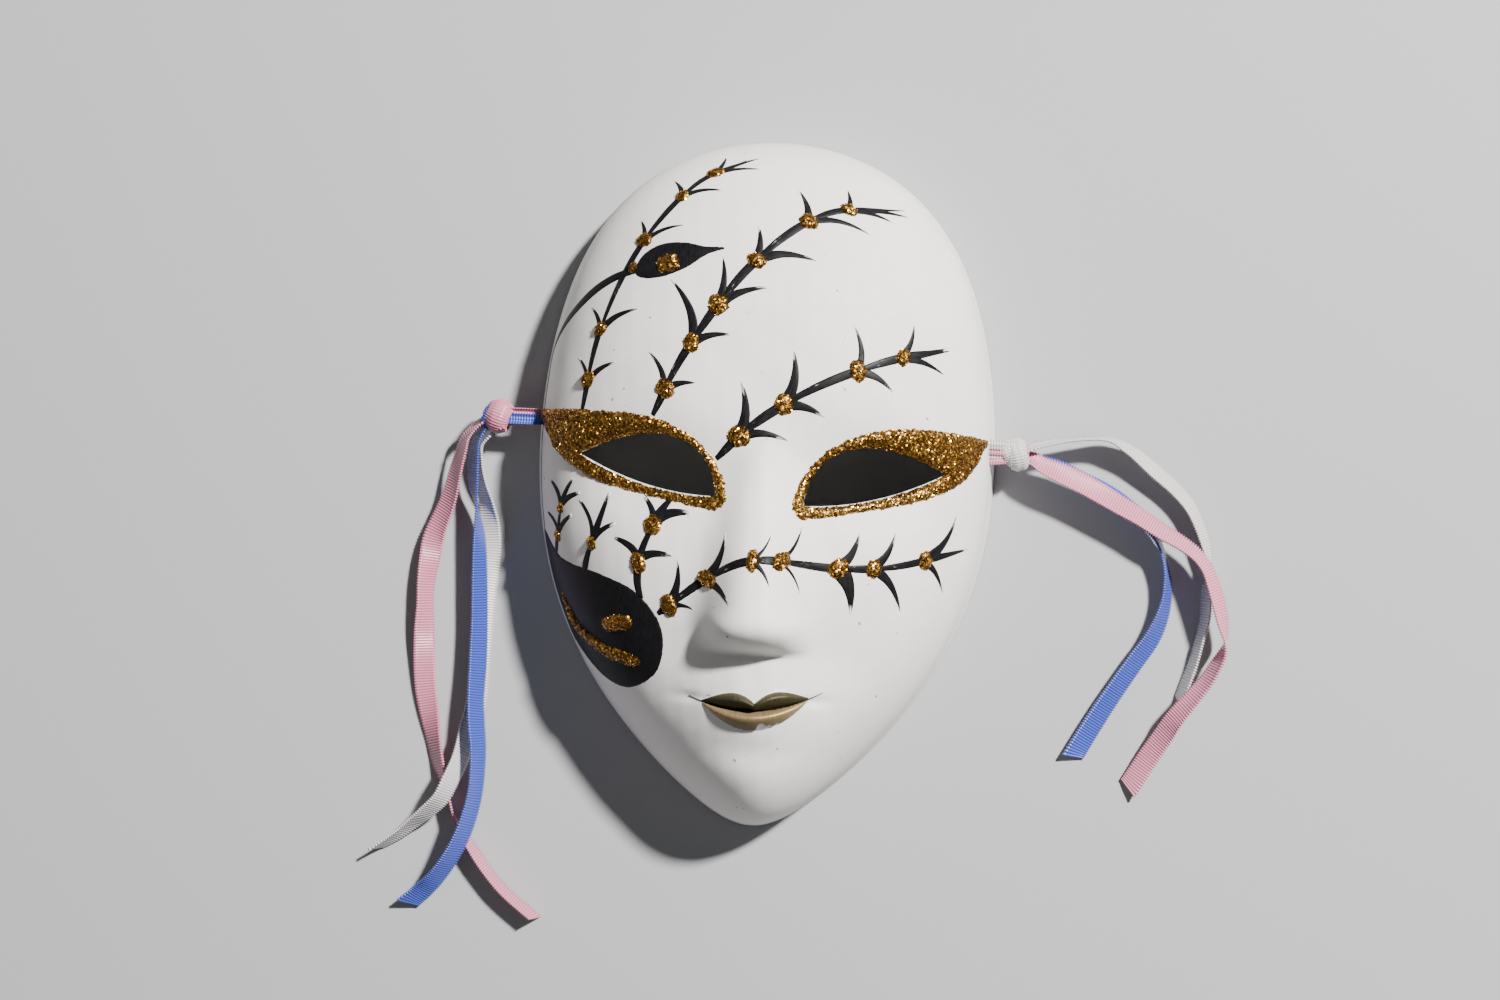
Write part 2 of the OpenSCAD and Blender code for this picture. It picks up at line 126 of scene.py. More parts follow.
def feed(tree, socket, value):
    """Links an output to a socket, or sets a value on it."""
    if isinstance(value, bpy.types.NodeSocket):
        tree.links.new(value, socket)
    else:
        socket.default_value = value


def wire(tree, node, **inputs):
    for key, value in inputs.items():
        feed(tree, node.inputs[key.replace("_", " ")], value)
    return node


def add(tree, kind, **inputs):
    return wire(tree, tree.nodes.new("ShaderNode" + kind), **inputs)


def maths(tree, operation, *values):
    made = tree.nodes.new("ShaderNodeMath")
    made.operation = operation
    for socket, value in zip(made.inputs, values):
        feed(tree, socket, value)
    return made.outputs[0]


def mix(tree, fac, one, other):
    return add(tree, "MixRGB", Fac=fac, Color1=one, Color2=other).outputs["Color"]


def noise(tree, where, scale, detail=4.0, rough=0.6):
    return add(tree, "TexNoise", Vector=where, Scale=scale, Detail=detail, Roughness=rough).outputs["Fac"]


def ramp(tree, fac, stops):
    """A colour for each value of fac, from stops of a place and a colour or a grey level."""
    made = add(tree, "ValToRGB", Fac=fac)
    while len(made.color_ramp.elements) < len(stops):
        made.color_ramp.elements.new(0.5)
    for element, (place, colour) in zip(made.color_ramp.elements, stops):
        element.position = place
        element.color = (*colour, 1) if isinstance(colour, tuple) else (colour, colour, colour, 1)
    return made.outputs["Color"]


def bump(tree, shader, height, strength, distance):
    made = add(tree, "Bump", Height=height, Strength=strength, Distance=distance)
    tree.links.new(made.outputs["Normal"], shader.inputs["Normal"])


def place_of(tree):
    return add(tree, "TexCoord").outputs["Object"]


def scaled(tree, vector, scale):
    return add(tree, "Mapping", Vector=vector, Scale=scale).outputs["Vector"]


def attribute(tree, name, output):
    made = add(tree, "Attribute")
    made.attribute_name = name
    return made.outputs[output]


def bisque_material():
    """Unglazed white slip-cast ceramic: fine grain, soft tone changes and a few dark specks."""
    tree, shader = new_material("bisque")
    place = place_of(tree)
    tone = ramp(tree, noise(tree, place, 90.0), [(0.3, (0.80, 0.775, 0.74)), (0.7, (0.87, 0.85, 0.82))])
    specks = ramp(tree, noise(tree, place, 900.0, 1.0), [(0.0, 0), (0.775, 0), (0.80, 1)])
    wire(tree, shader, Base_Color=mix(tree, specks, tone, (0.34, 0.31, 0.27, 1)),
         Roughness=ramp(tree, noise(tree, place, 400.0), [(0.3, 0.50), (0.7, 0.66)]), Specular_IOR_Level=0.4,
         Subsurface_Weight=0.06, Subsurface_Radius=(0.002, 0.0017, 0.0014), Subsurface_Scale=0.4)
    bump(tree, shader, noise(tree, place, 2600.0, 5.0, 0.7), 0.35, 0.00006)


def paint_material(name, colour, other, rough, metallic=0.0, shadow=None):
    """Hand-brushed paint: streaks run along each stroke, and a dry brush lets the ceramic show through. A
    shadow is a darker colour, with the heights on the map where it is full and where it ends."""
    tree, shader = new_material(name)
    brush = attribute(tree, "brush", "Vector")
    streak = noise(tree, scaled(tree, brush, (5.5, 0.55, 1.0)), 1.6, 3.0, 0.65)
    tone = ramp(tree, streak, [(0.32, colour), (0.72, other)])
    if shadow:
        darkest, full, end = shadow
        height = add(tree, "SeparateXYZ", Vector=brush).outputs["Y"]
        clear = add(tree, "MapRange", Value=height, From_Min=full, From_Max=end).outputs["Result"]
        tone = mix(tree, clear, (*darkest, 1), tone)
    reach = maths(tree, "SUBTRACT", maths(tree, "ADD", streak, attribute(tree, "dry", "Fac")), 1.0)
    bare = ramp(tree, reach, [(0.0, 0), (0.16, 1)])
    wire(tree, shader, Base_Color=mix(tree, bare, tone, (0.80, 0.78, 0.75, 1)),
         Roughness=ramp(tree, streak, [(0.3, rough - 0.08), (0.7, rough + 0.12)]), Metallic=metallic,
         Specular_IOR_Level=0.12)
    bump(tree, shader, streak, 0.5, 0.00004)


def glitter_glue_material():
    """The glue and the small flakes between the large ones."""
    tree, shader = new_material("glitter_glue")
    cells = add(tree, "TexVoronoi", Vector=place_of(tree), Scale=3200.0)
    pick = add(tree, "SeparateColor", Color=cells.outputs["Color"]).outputs[0]
    tone = ramp(tree, pick, [(0.0, (0.03, 0.013, 0.002)), (0.5, (0.14, 0.062, 0.009)),
                             (0.85, (0.34, 0.17, 0.027)), (1.0, (0.8, 0.48, 0.11))])
    wire(tree, shader, Base_Color=tone, Metallic=0.75, Roughness=0.34, Coat_Weight=0.35, Coat_Roughness=0.12)
    bump(tree, shader, cells.outputs["Distance"], 0.9, 0.0001)


def flake_material():
    """Metal flakes, from bronze to bright gold; each flake has one tone."""
    tree, shader = new_material("gold_flake")
    pick = attribute(tree, "tone", "Fac")
    tone = ramp(tree, pick, [(0.0, (0.17, 0.078, 0.014)), (0.5, (0.34, 0.17, 0.03)),
                             (0.85, (0.62, 0.35, 0.065)), (1.0, (1.0, 0.70, 0.2))])
    wire(tree, shader, Base_Color=tone, Metallic=1.0, Roughness=0.3)


def satin_material(name, colour, shade):
    """Satin ribbon: painted light on the ribs and painted shade between them, from a lit colour and a darker
    shade colour of the same satin, with a soft sheen along the threads.
    """
    tree, shader = new_material(name)
    weave = attribute(tree, "weave", "Vector")
    along = add(tree, "SeparateXYZ", Vector=weave).outputs["Y"]
    wave = maths(tree, "COSINE", maths(tree, "MULTIPLY", along, 2 * math.pi / RIB_PITCH))
    level = add(tree, "MapRange", Value=wave, From_Min=-1.0, From_Max=1.0).outputs["Result"]
    threads = noise(tree, scaled(tree, weave, (9.0, 1.2, 1.0)), 1.3, 2.0)
    # Painted light and shade: the tone runs from the shade colour between the ribs to the lit colour on them
    tone = ramp(tree, maths(tree, "MULTIPLY_ADD", threads, 0.5, level), [(0.1, shade), (0.9, colour)])
    wire(tree, shader, Base_Color=tone, Roughness=0.33, Specular_IOR_Level=0.6, Sheen_Weight=0.1,
         Sheen_Roughness=0.4, Anisotropic=0.5)
    bump(tree, shader, threads, 0.25, 0.00003)


# ---------------- the face's form, as the CAD has it

HALF_W, HALF_H = 31.1, 47.2
EGG_TAPER, CHIN_TAPER = 0.08, 0.26
CROWN_H, SIDE_WALL_H, SIDE_WALL_LEAN, WALL = 24.0, 5.0, 0.8, 2.6
SHOULDER_SIDE, SHOULDER_BROW, SHOULDER_CHIN, SHOULDER_FALL = 2.4, 0.8, 2.0, 0.55
NOSE_H, NOSE_BALL, NOSE_BRIDGE = 6.8, 5.7, 4.0
NOSE_TOP_Y, NOSE_TIP_Y, NOSE_BASE_Y = 11.0, -16.0, -22.8
MOUTH_X, MOUTH_Y, MOUTH_CURVE, MOUTH_HALF_W, MOUTH_SLOPE, LIP_H = 0.5, -30.4, 0.028, 7.3, 0.06, 1.4
INNER_RELIEF, INNER_DRAW = 0.72, 6
# Swellings and hollows, for both sides: x, y, reach in x, reach in y, height
SWELLINGS = [
    (14, 1, 9.5, 5.5, -1.9),  # eye socket
    (12, 11.5, 10, 4, 0.2),  # brow
    (0, 6, 6, 5, -0.3),  # root of the nose
    (18, -13, 11, 11, 0.5),  # cheek
    (11, -23, 4.5, 6, -0.5),  # fold beside the nose and mouth
    (4.9, -19.4, 2.1, 2.2, 1.3),  # wing of the nose
    (0, -29.3, 10, 7, 1.0),  # mound of the mouth
    (0, -26, 1.2, 1.8, -0.22),  # groove above the lips
    (8.6, -28.9, 2, 0.7, -0.35),  # corner of the mouth
    (0, -36.2, 6.5, 2.4, -0.6),  # hollow under the lower lip
    (0, -41.6, 8, 5.5, 0.6),  # chin
]
# The skin's map: angle from the middle of the face and round it, opened out flat, in mm
QUARTER = math.pi / 2
RIM = QUARTER + 0.18
MAP_U, MAP_V = 26.0, 34.0
NORMAL_STEPS = np.array([(0.06, 0), (0, 0.06)])


def egg_half(s):
    return HALF_W * (1 + EGG_TAPER * s + CHIN_TAPER * (s ** 3 - 0.35 * s ** 4))


def dome(r, s):
    square = SHOULDER_SIDE + np.where(s < 0, SHOULDER_CHIN, SHOULDER_BROW) * s * s
    return SIDE_WALL_H + (CROWN_H - SIDE_WALL_H) * np.maximum(0, 1 - r ** square) ** SHOULDER_FALL


def nose(x, y):
    down = np.clip((NOSE_TOP_Y - y) / (NOSE_TOP_Y - NOSE_TIP_Y), 0, 1.3)
    under = np.clip((NOSE_TIP_Y - y) / (NOSE_TIP_Y - NOSE_BASE_Y), 0, 1)
    half = NOSE_BRIDGE + (NOSE_BALL - NOSE_BRIDGE) * np.sin(QUARTER * down) ** 3
    return NOSE_H * down ** 1.3 * (1 - under ** 3.5) * np.exp(-(abs(x) / half) ** (2 + 0.7 * down))


def mouth_line(u):
    return MOUTH_CURVE * u * u


def bow(u):
    k = np.minimum(1, abs(u) / MOUTH_HALF_W)
    return mouth_line(u) + (1 - k) * (1 + 8.6 * k - 4.2 * k * k) + 0.02


def lower_edge(u):
    k = np.minimum(1, abs(u) / MOUTH_HALF_W)
    return mouth_line(u) - 2.6 * (1 - k * k) - 0.02


def lips(u, v):
    side = 1 - np.minimum(1, abs(u) / MOUTH_HALF_W) ** 2
    up = np.clip((v - mouth_line(u)) / (bow(u) - mouth_line(u)), 0, 1)
    low = np.clip((mouth_line(u) - v) / (mouth_line(u) - lower_edge(u)), 0, 1)
    roll = np.sin(np.pi * up ** 1.7) + np.sin(np.pi * low ** 0.75)
    return LIP_H * side * roll - 0.9 * side * np.exp(-((v - mouth_line(u)) / 0.4) ** 2)


def unevenness(x, y):
    """The slight waviness of a cast and sponged surface."""
    slow = np.sin(0.83 * x + 0.31 * y + 1) * np.sin(0.57 * y - 0.22 * x)
    quick = 0.6 * np.sin(1.9 * x - 1.1 * y) * np.sin(1.3 * y + 0.7 * x + 2)
    return 0.035 * (slow + quick)


def features(x, y):
    u = x - MOUTH_X
    z = nose(x, y) + lips(u, y - MOUTH_Y - MOUTH_SLOPE * u) + unevenness(x, y)
    for at_x, at_y, reach_x, reach_y, height in SWELLINGS:
        z = z + height * np.exp(-((abs(x) - at_x) / reach_x) ** 2 - ((y - at_y) / reach_y) ** 2)
    return z


def from_map(uv):
    return np.hypot(uv[:, 0] / MAP_U, uv[:, 1] / MAP_V), np.arctan2(uv[:, 1] / MAP_V, uv[:, 0] / MAP_U)


def to_map(rho, angle):
    return np.stack([MAP_U * rho * np.cos(angle), MAP_V * rho * np.sin(angle)], -1)


def skin(uv, inside=False):
    """Points of the shell's outside or inside, for points of the map."""
    rho, angle = from_map(uv)
    s, c = np.sin(angle), np.cos(angle)
    r = np.sin(np.minimum(rho, QUARTER))
    down = np.clip((rho - QUARTER) / (RIM - QUARTER), 0, 1)
    x, y = egg_half(s) * c * r, HALF_H * s * r
    fade = (1 - r ** 8) * (INNER_RELIEF if inside else 1)
    z = (dome(r, s) - (WALL if inside else 0) + features(x, y) * fade) * (1 - down)
    out = SIDE_WALL_LEAN * down - (WALL * r ** INNER_DRAW if inside else 0)
    return np.stack([x + out * c, y + out * s, z], -1)


def unit(rows):
    """The same vectors with a length of 1."""
    return rows / np.maximum(np.linalg.norm(rows, axis=-1, keepdims=True), 1e-9)


def skin_normal(uv):
    across, along = (skin(uv + step) - skin(uv - step) for step in NORMAL_STEPS)
    return unit(np.cross(across, along))


def on_skin(uv, height):
    return skin(uv) + skin_normal(uv) * np.asarray(height).reshape(-1, 1)


def place(points, inside=False):
    """Map points of places on the face, given as x and y."""
    points = np.asarray(points, float)
    x, y = points[:, 0], points[:, 1]
    r = np.full(len(points), 0.7)
    for _ in range(8):
        r = np.maximum(0.02, np.hypot(x / egg_half(np.clip(y / HALF_H / r, -1, 1)), y / HALF_H))
    s = np.clip(y / HALF_H / r, -1, 1)
    uv = to_map(np.arcsin(np.minimum(r, 1)), np.arctan2(s, x / egg_half(s) / r))
    if inside:
        target = points
        for _ in range(12):
            miss = target - skin(uv, True)[:, :2]
            points = points + miss
            uv = place(points)
    return uv


def place_on_wall(y, z, side, inside):
    """Map points of places on the left or right wall, given as y and z."""
    angle = np.arcsin(np.clip(y / HALF_H, -1, 1))
    angle = angle if side > 0 else math.pi - angle
    rho = np.full(len(y), QUARTER - 0.05)
    for _ in range(60):
        at = skin(to_map(rho, angle), inside)
        rho = rho + (at[:, 2] - z) / 40
        angle = angle + side * (y - at[:, 1]) / HALF_H * 0.8
    return to_map(rho, angle)


# ---------------- curves, outlines and meshes


def between(a, b, c, d, f):
    """The smooth curve through four points, at share f of the way from b to c."""
    bend, twist = 2 * a - 5 * b + 4 * c - d, 3 * b - 3 * c + d - a
    return 0.5 * (2 * b + (c - a) * f + bend * f * f + twist * f ** 3)


def curve(points, count):
    """A smooth curve through given points, as count + 1 points at even steps along it."""
    points = np.asarray(points, float)
    padded = np.vstack([2 * points[0] - points[1], points, 2 * points[-1] - points[-2]])
    shares = np.linspace(0, 1, 24, endpoint=False)
    fine = [between(*padded[i:i + 4], f) for i in range(len(points) - 1) for f in shares]
    return even(np.array(fine + [points[-1]]), count)


def even(line, count):
    """The same line as count + 1 points at even steps. Columns after the third are carried along."""
    lengths = np.concatenate([[0], np.cumsum(np.linalg.norm(np.diff(line[:, :3], axis=0), axis=1))])
    want = np.linspace(0, lengths[-1], count + 1)
    return np.stack([np.interp(want, lengths, line[:, i]) for i in range(line.shape[1])], -1)


def length_of(line):
    return float(np.linalg.norm(np.diff(line, axis=0), axis=1).sum())


def closed(outline, spacing):
    """An outline at even steps all the way round."""
    loop = np.vstack([outline, outline[:1]])
    return even(loop, max(8, round(length_of(loop) / spacing)))[:-1]


def smooth_closed(points, spacing):
    points = np.asarray(points, float)
    wrapped = np.vstack([points[-2:], points, points[:3]])
    fine = curve(wrapped, 40 * len(wrapped))
    first = np.argmin(np.linalg.norm(fine - points[0], axis=1)[:len(fine) // 2])
    last = len(fine) // 2 + np.argmin(np.linalg.norm(fine - points[0], axis=1)[len(fine) // 2:])
    return closed(fine[first:last], spacing)


def outward(loop):
    """Unit normals of a closed outline, pointing out of it."""
    run = np.roll(loop, -1, 0) - np.roll(loop, 1, 0)
    n = unit(np.stack([run[:, 1], -run[:, 0]], -1))
    area = np.sum(loop[:, 0] * np.roll(loop[:, 1], -1) - np.roll(loop[:, 0], -1) * loop[:, 1])
    return n if area > 0 else -n


def contains(loop, points):
    inside = np.zeros(len(points), bool)
    x, y = points[:, 0], points[:, 1]
    for (x1, y1), (x2, y2) in zip(loop, np.roll(loop, -1, 0)):
        if y1 != y2:
            cross = ((y1 > y) != (y2 > y)) & (x < (x2 - x1) * (y - y1) / (y2 - y1) + x1)
            inside ^= cross
    return inside


def within(loops, points):
    """Which points lie inside the first outline but in none of the others."""
    keep = contains(loops[0], points)
    for loop in loops[1:]:
        keep &= ~contains(loop, points)
    return keep


def distance(points, loop):
    """Distance of each point to an outline of closely set points."""
    found = np.full(len(points), 1e9)
    for start in range(0, len(loop), 64):
        part = loop[start:start + 64]
        gap = np.linalg.norm(points[:, None, :] - part[None, :, :], axis=2).min(1)
        found = np.minimum(found, gap)
    return found


def honeycomb(low, high, spacing):
    rows = np.arange(low[1], high[1], spacing * math.sqrt(0.75))
    points = []
    for i, y in enumerate(rows):
        xs = np.arange(low[0] + (i % 2) * spacing / 2, high[0], spacing)
        points.append(np.stack([xs, np.full(len(xs), y)], -1))
    return np.vstack(points)


def triangulate(loops, spacing, fine=None):
    """Fills the first outline, less the others, with even triangles. Fine is the low and high corner of a
    denser area, and its spacing."""
    grid = honeycomb(loops[0].min(0), loops[0].max(0), spacing)
    if fine:
        low, high, dense = fine
        grid = grid[~np.all((grid > low) & (grid < high), axis=1)]
        grid = np.vstack([grid, honeycomb(np.array(low), np.array(high), dense)])
    grid = grid[within(loops, grid)]
    grid = grid[distance(grid, np.vstack(loops)) > 0.55 * (fine[2] if fine else spacing)]
    points = np.vstack([*loops, grid])
    edges = []
    base = 0
    for loop in loops:
        edges += [(base + i, base + (i + 1) % len(loop)) for i in range(len(loop))]
        base += len(loop)
    verts, _, faces, _, _, _ = delaunay_2d_cdt([Vector(p) for p in points], edges, [], 0, 1e-7)
    verts = np.array([(v[0], v[1]) for v in verts])
    faces = np.array([f for f in faces if len(f) == 3])
    return verts, faces[within(loops, verts[faces].mean(1))]


class Build:
    """Collects the points, faces and attributes of one mesh."""

    def __init__(self):
        self.points, self.faces, self.slots, self.data = [], [], [], {}
        self.count = 0

    def add(self, points, faces, slot=0, **attributes):
        self.points.append(np.asarray(points, float))
        self.faces += [tuple(int(i) + self.count for i in f) for f in faces]
        self.slots += [slot] * len(faces)
        for name in set(self.data) | set(attributes):
            before = self.data.setdefault(name, [])
            value = attributes.get(name)
            width = 3 if name in ("brush", "weave") else 1
            if not before and self.count:
                before.append(np.zeros((self.count, width)))
            if value is None:
                value = np.zeros(len(points) * width)
            before.append(np.asarray(value, float).reshape(len(points), width))
        self.count += len(points)

    def loft(self, rings, loop=False, slot=0, **attributes):
        """A closed tube through rings of points, shaped (rings, points, 3)."""
        n, m = rings.shape[:2]
        faces = []
        for i in range(n if loop else n - 1):
            a, b = i * m, (i + 1) % n * m
            faces += [(a + j, a + (j + 1) % m, b + (j + 1) % m, b + j) for j in range(m)]
        if not loop:
            faces += [tuple(range(m))[::-1], tuple((n - 1) * m + j for j in range(m))]
        flat = {k: np.asarray(v).reshape(n * m, -1) for k, v in attributes.items()}
        self.add(rings.reshape(-1, 3), faces, slot, **flat)

    def make(self, name, materials, body, merge=False):
        mesh = bpy.data.meshes.new(name)
        mesh.from_pydata((np.vstack(self.points) * MM).tolist(), [], self.faces)
        for key, values in self.data.items():
            values = np.vstack(values).astype(np.float32)
            vector = values.shape[1] == 3
            layer = mesh.attributes.new(key, "FLOAT_VECTOR" if vector else "FLOAT", "POINT")
            layer.data.foreach_set("vector" if vector else "value", values.ravel())
        for material in materials:
            mesh.materials.append(LOOKS[material])
        mesh.polygons.foreach_set("material_index", self.slots)
        mesh.polygons.foreach_set("use_smooth", [True] * len(mesh.polygons))
        mesh.validate()
        clean(mesh, merge)
        piece = put(name, mesh)
        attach(piece, body)
        return piece


def clean(mesh, merge):
    bm = bmesh.new()
    bm.from_mesh(mesh)
    if merge:
        bmesh.ops.remove_doubles(bm, verts=bm.verts, dist=2e-6)
    bmesh.ops.recalc_face_normals(bm, faces=bm.faces)
    bm.to_mesh(mesh)
    bm.free()


# ---------------- the ceramic shell

EYE_INNER, EYE_OUTER, UPPER_LID, LOWER_LID, EYE_SHIFT = (5.9, -2.4), (24.9, 2.7), 15.5, 1.3, 0.4
HOLE_R, HOLE_Z = 1.9, 5.8
OUTER_ROUND, INNER_ROUND, RIM_ROUND, ROUND_STEPS = 0.25, 0.35, 0.4, 5
HOLE_POINTS, RIM_POINTS = 48, 760
SKIN_GRAIN, LIP_GRAIN, INSIDE_GRAIN = 0.5, 0.13, 0.95


def eye_line(k):
    k = np.asarray(k, float).reshape(-1, 1)
    return (1 - k) * EYE_INNER + k * EYE_OUTER


def eye_upper(k):
    k = np.asarray(k, float)
    return eye_line(k) + np.stack([0 * k, UPPER_LID * k ** 0.45 * (1 - k)], -1)


def eye_lower(k):
    k = np.asarray(k, float)
    return eye_line(k) - np.stack([0 * k, LOWER_LID * 4 * k * (1 - k)], -1)


def on_side(points, side):
    """Moves a right-hand feature of the eyes to its own side and height."""
    return np.asarray(points) * (side, 1) - (0, side * EYE_SHIFT)


def eye_outline(side):
    upper = eye_upper(np.linspace(0, 1, 60) ** 1.5)
    lower = eye_lower(np.linspace(1, 0, 60)[1:-1])
    return on_side(closed(np.vstack([upper, lower]), 0.4), side)


def tie_height(side):
    """How far towards the forehead the ribbon hole of a side sits."""
    low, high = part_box("right_outer_knot" if side > 0 else "left_outer_knot")
    return (low.y + high.y) / 2 / MM


def rounding(inside):
    """The steps that round an opening's rim: how far each one is out from the cut and in from the skin."""
    size = INNER_ROUND if inside else OUTER_ROUND
    for turn in np.linspace(0, QUARTER, ROUND_STEPS):
        yield size * (1 - math.sin(turn)), (-size if inside else size) * (1 - math.cos(turn))


def eye_rings(side, inside):
    """Rings that round an eye opening's rim, from the skin to the cut, and the first ring's map points."""
    outline = eye_outline(side)
    rings, maps = [], []
    for out, depth in rounding(inside):
        maps.append(place(outline + outward(outline) * out, inside))
        rings.append(skin(maps[-1], inside) - (0, 0, depth))
    return rings, maps[0]


def hole_rings(side, inside):
    """The same for a ribbon hole, whose cut runs across the side wall."""
    turns = np.linspace(0, 2 * math.pi, HOLE_POINTS, endpoint=False)
    rings, maps = [], []
    for out, depth in rounding(inside):
        y = tie_height(side) + (HOLE_R + out) * np.cos(turns)
        z = HOLE_Z + (HOLE_R + out) * np.sin(turns)
        maps.append(place_on_wall(y, z, side, inside))
        rings.append(skin(maps[-1], inside) - (side * depth, 0, 0))
    return rings, maps[0]


def rim_rings(inside):
    """Rings that round the foot of the side wall, from the skin to the flat underside."""
    angles = np.linspace(0, 2 * math.pi, RIM_POINTS, endpoint=False)
    share = 1 - RIM_ROUND / (SIDE_WALL_H - WALL if inside else SIDE_WALL_H)
    uv = to_map(np.full(len(angles), QUARTER + (RIM - QUARTER) * share), angles)
    start = skin(uv, inside)
    way = np.stack([np.cos(angles), np.sin(angles), 0 * angles], -1) * (1 if inside else -1)
    rings = []
    for turn in np.linspace(0, QUARTER, ROUND_STEPS):
        ring = start + way * RIM_ROUND * (1 - math.cos(turn))
        ring[:, 2] = RIM_ROUND * (1 - math.sin(turn))
        rings.append(ring)
    return rings, uv


def band(build, rings):
    """Joins rings of points with quads, without end caps."""
    n, m = len(rings), len(rings[0])
    faces = [(i * m + j, i * m + (j + 1) % m, (i + 1) * m + (j + 1) % m, (i + 1) * m + j)
             for i in range(n - 1) for j in range(m)]
    build.add(np.vstack(rings), faces)


def make_shell():
    build = Build()
    seams = []
    low, high = place([(MOUTH_X - 8.5, MOUTH_Y - 3.6), (MOUTH_X + 8.5, MOUTH_Y + 3.4)])
    for inside, grain, fine in ((False, SKIN_GRAIN, (low, high, LIP_GRAIN)), (True, INSIDE_GRAIN, None)):
        edges = [rim_rings(inside)]
        edges += [eye_rings(side, inside) for side in (-1, 1)]
        edges += [hole_rings(side, inside) for side in (-1, 1)]
        uv, faces = triangulate([outline for _, outline in edges], grain, fine)
        build.add(skin(uv, inside), faces)
        seams.append([rings for rings, _ in edges])
    for outer, inner in zip(*seams):
        band(build, outer + inner[::-1])
    shell = build.make("ceramic_shell", ["bisque"], "mask", merge=True)
    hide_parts("mask_shell")


# ---------------- paint

PAINT_T, LIP_PAINT_T, LIP_LINE_T = 0.05, 0.13, 0.11
STROKE_STEP = 0.28


def stroke(build, line, width, dry=None, slot=0, lift=PAINT_T):
    """One brush stroke along a line of map points: width gives its half width at each share of its length."""
    count = max(6, round(length_of(line) / STROKE_STEP))
    line = even(line, count)
    share = np.linspace(0, 1, count + 1)
    run = np.gradient(line, axis=0)
    side = unit(np.stack([-run[:, 1], run[:, 0]], -1))
    half = np.maximum(0.03, width(share))
    across = [-1, -0.62, 0, 0.62, 1, 0.6, -0.6]
    rise = [-0.02, lift * 0.8, lift, lift * 0.8, -0.02, -0.1, -0.1]
    uv = np.stack([line + side * (half * a)[:, None] for a in across], 1)
    height = np.tile(rise, (count + 1, 1))
    rings = on_skin(uv.reshape(-1, 2), height.ravel()).reshape(count + 1, len(across), 3)
    seed = draw.uniform(0, 90)
    brush = np.stack([half[:, None] * across, np.tile((share * length_of(line))[:, None], len(across)),
                      np.full((count + 1, len(across)), seed)], -1)
    fade = np.zeros(count + 1) if dry is None else dry(share)
    build.loft(rings, slot=slot, brush=brush, dry=np.tile(fade[:, None], len(across)))


def film(build, loops, height, spacing=0.3, edge=0.35, slot=0, rough=0.0, sink=0.12, trace=None,
         **attributes):
    """A closed coat of paint or glue inside the first outline on the map, less the others. It slopes off over
    its edge, and trace is how finely the distance to the outlines is taken. Returns its upper triangles."""
    uv, faces = triangulate(loops, spacing)
    rim = sum(len(loop) for loop in loops)
    gap = distance(uv, np.vstack([closed(loop, trace or spacing / 4) for loop in loops]))
    gap[:rim] = 0
    rise = np.sqrt(np.clip(gap / edge, 0, 1))
    top = height * rise + rough * draw.normal(size=len(uv)) * rise - 0.015 * (gap == 0)
    upper, lower = on_skin(uv, top), on_skin(uv, np.full(len(uv), -sink))
    number = np.arange(len(uv))
    link = np.where(number >= rim, number + len(uv), number)
    both = np.vstack([faces, link[faces][:, ::-1]])
    brush = np.column_stack([np.vstack([uv, uv]), np.zeros(2 * len(uv))])
    build.add(np.vstack([upper, lower]), both, slot, brush=brush,
              **{name: np.full(2 * len(uv), value) for name, value in attributes.items()})
    return upper[faces]


def taper(start, middle, end, peak):
    """Half width of a brush stroke: start, its fullest and end."""
    return lambda k: np.where(k < peak, start + (middle - start) * np.sin(QUARTER * k / peak),
                              end + (middle - end) * np.maximum(0, 1 - ((k - peak) / (1 - peak))) ** 0.8)


def fading(start):
    """A stroke whose brush runs dry from a share of its length on."""
    return lambda k: np.clip((k - start) / (1.05 - start), 0, 1) * 0.75


def leaf(build, root, along, tip, half, blunt):
    """A thorn-like leaf: it leaves the stem along it and curls outwards to its tip. Places are x and y."""
    k = np.linspace(0, 1, 14)[:, None]
    middle = root + along * np.linalg.norm(tip - root) * 0.5
    line = place((1 - k) ** 2 * root + 2 * k * (1 - k) * middle + k * k * tip)
    stroke(build, line, taper(0.22, half, blunt, 0.34), fading(draw.uniform(0.45, 0.7)))


def leaves(build, bud, along, tips, weight=1.0, blunt=0.04, back=0.3):
    """The leaves at a bud, each given by the heading of its tip in degrees, its distance and, where it is
    bolder or finer than the rest, its own weight. Back is how far behind the bud a leaf starts, as a share of
    its length."""
    for heading, size, *own in tips:
        tip = bud + size * np.array([math.cos(math.radians(heading)), math.sin(math.radians(heading))])
        half = (0.33 + 0.035 * size) * draw.uniform(0.9, 1.15) * weight * (own[0] if own else 1)
        leaf(build, bud - along * min(1.5, back * size), along, tip, half, blunt)


def dry_patch(k):
    return 0.4 * np.exp(-((k - 0.4) / 0.22) ** 2)


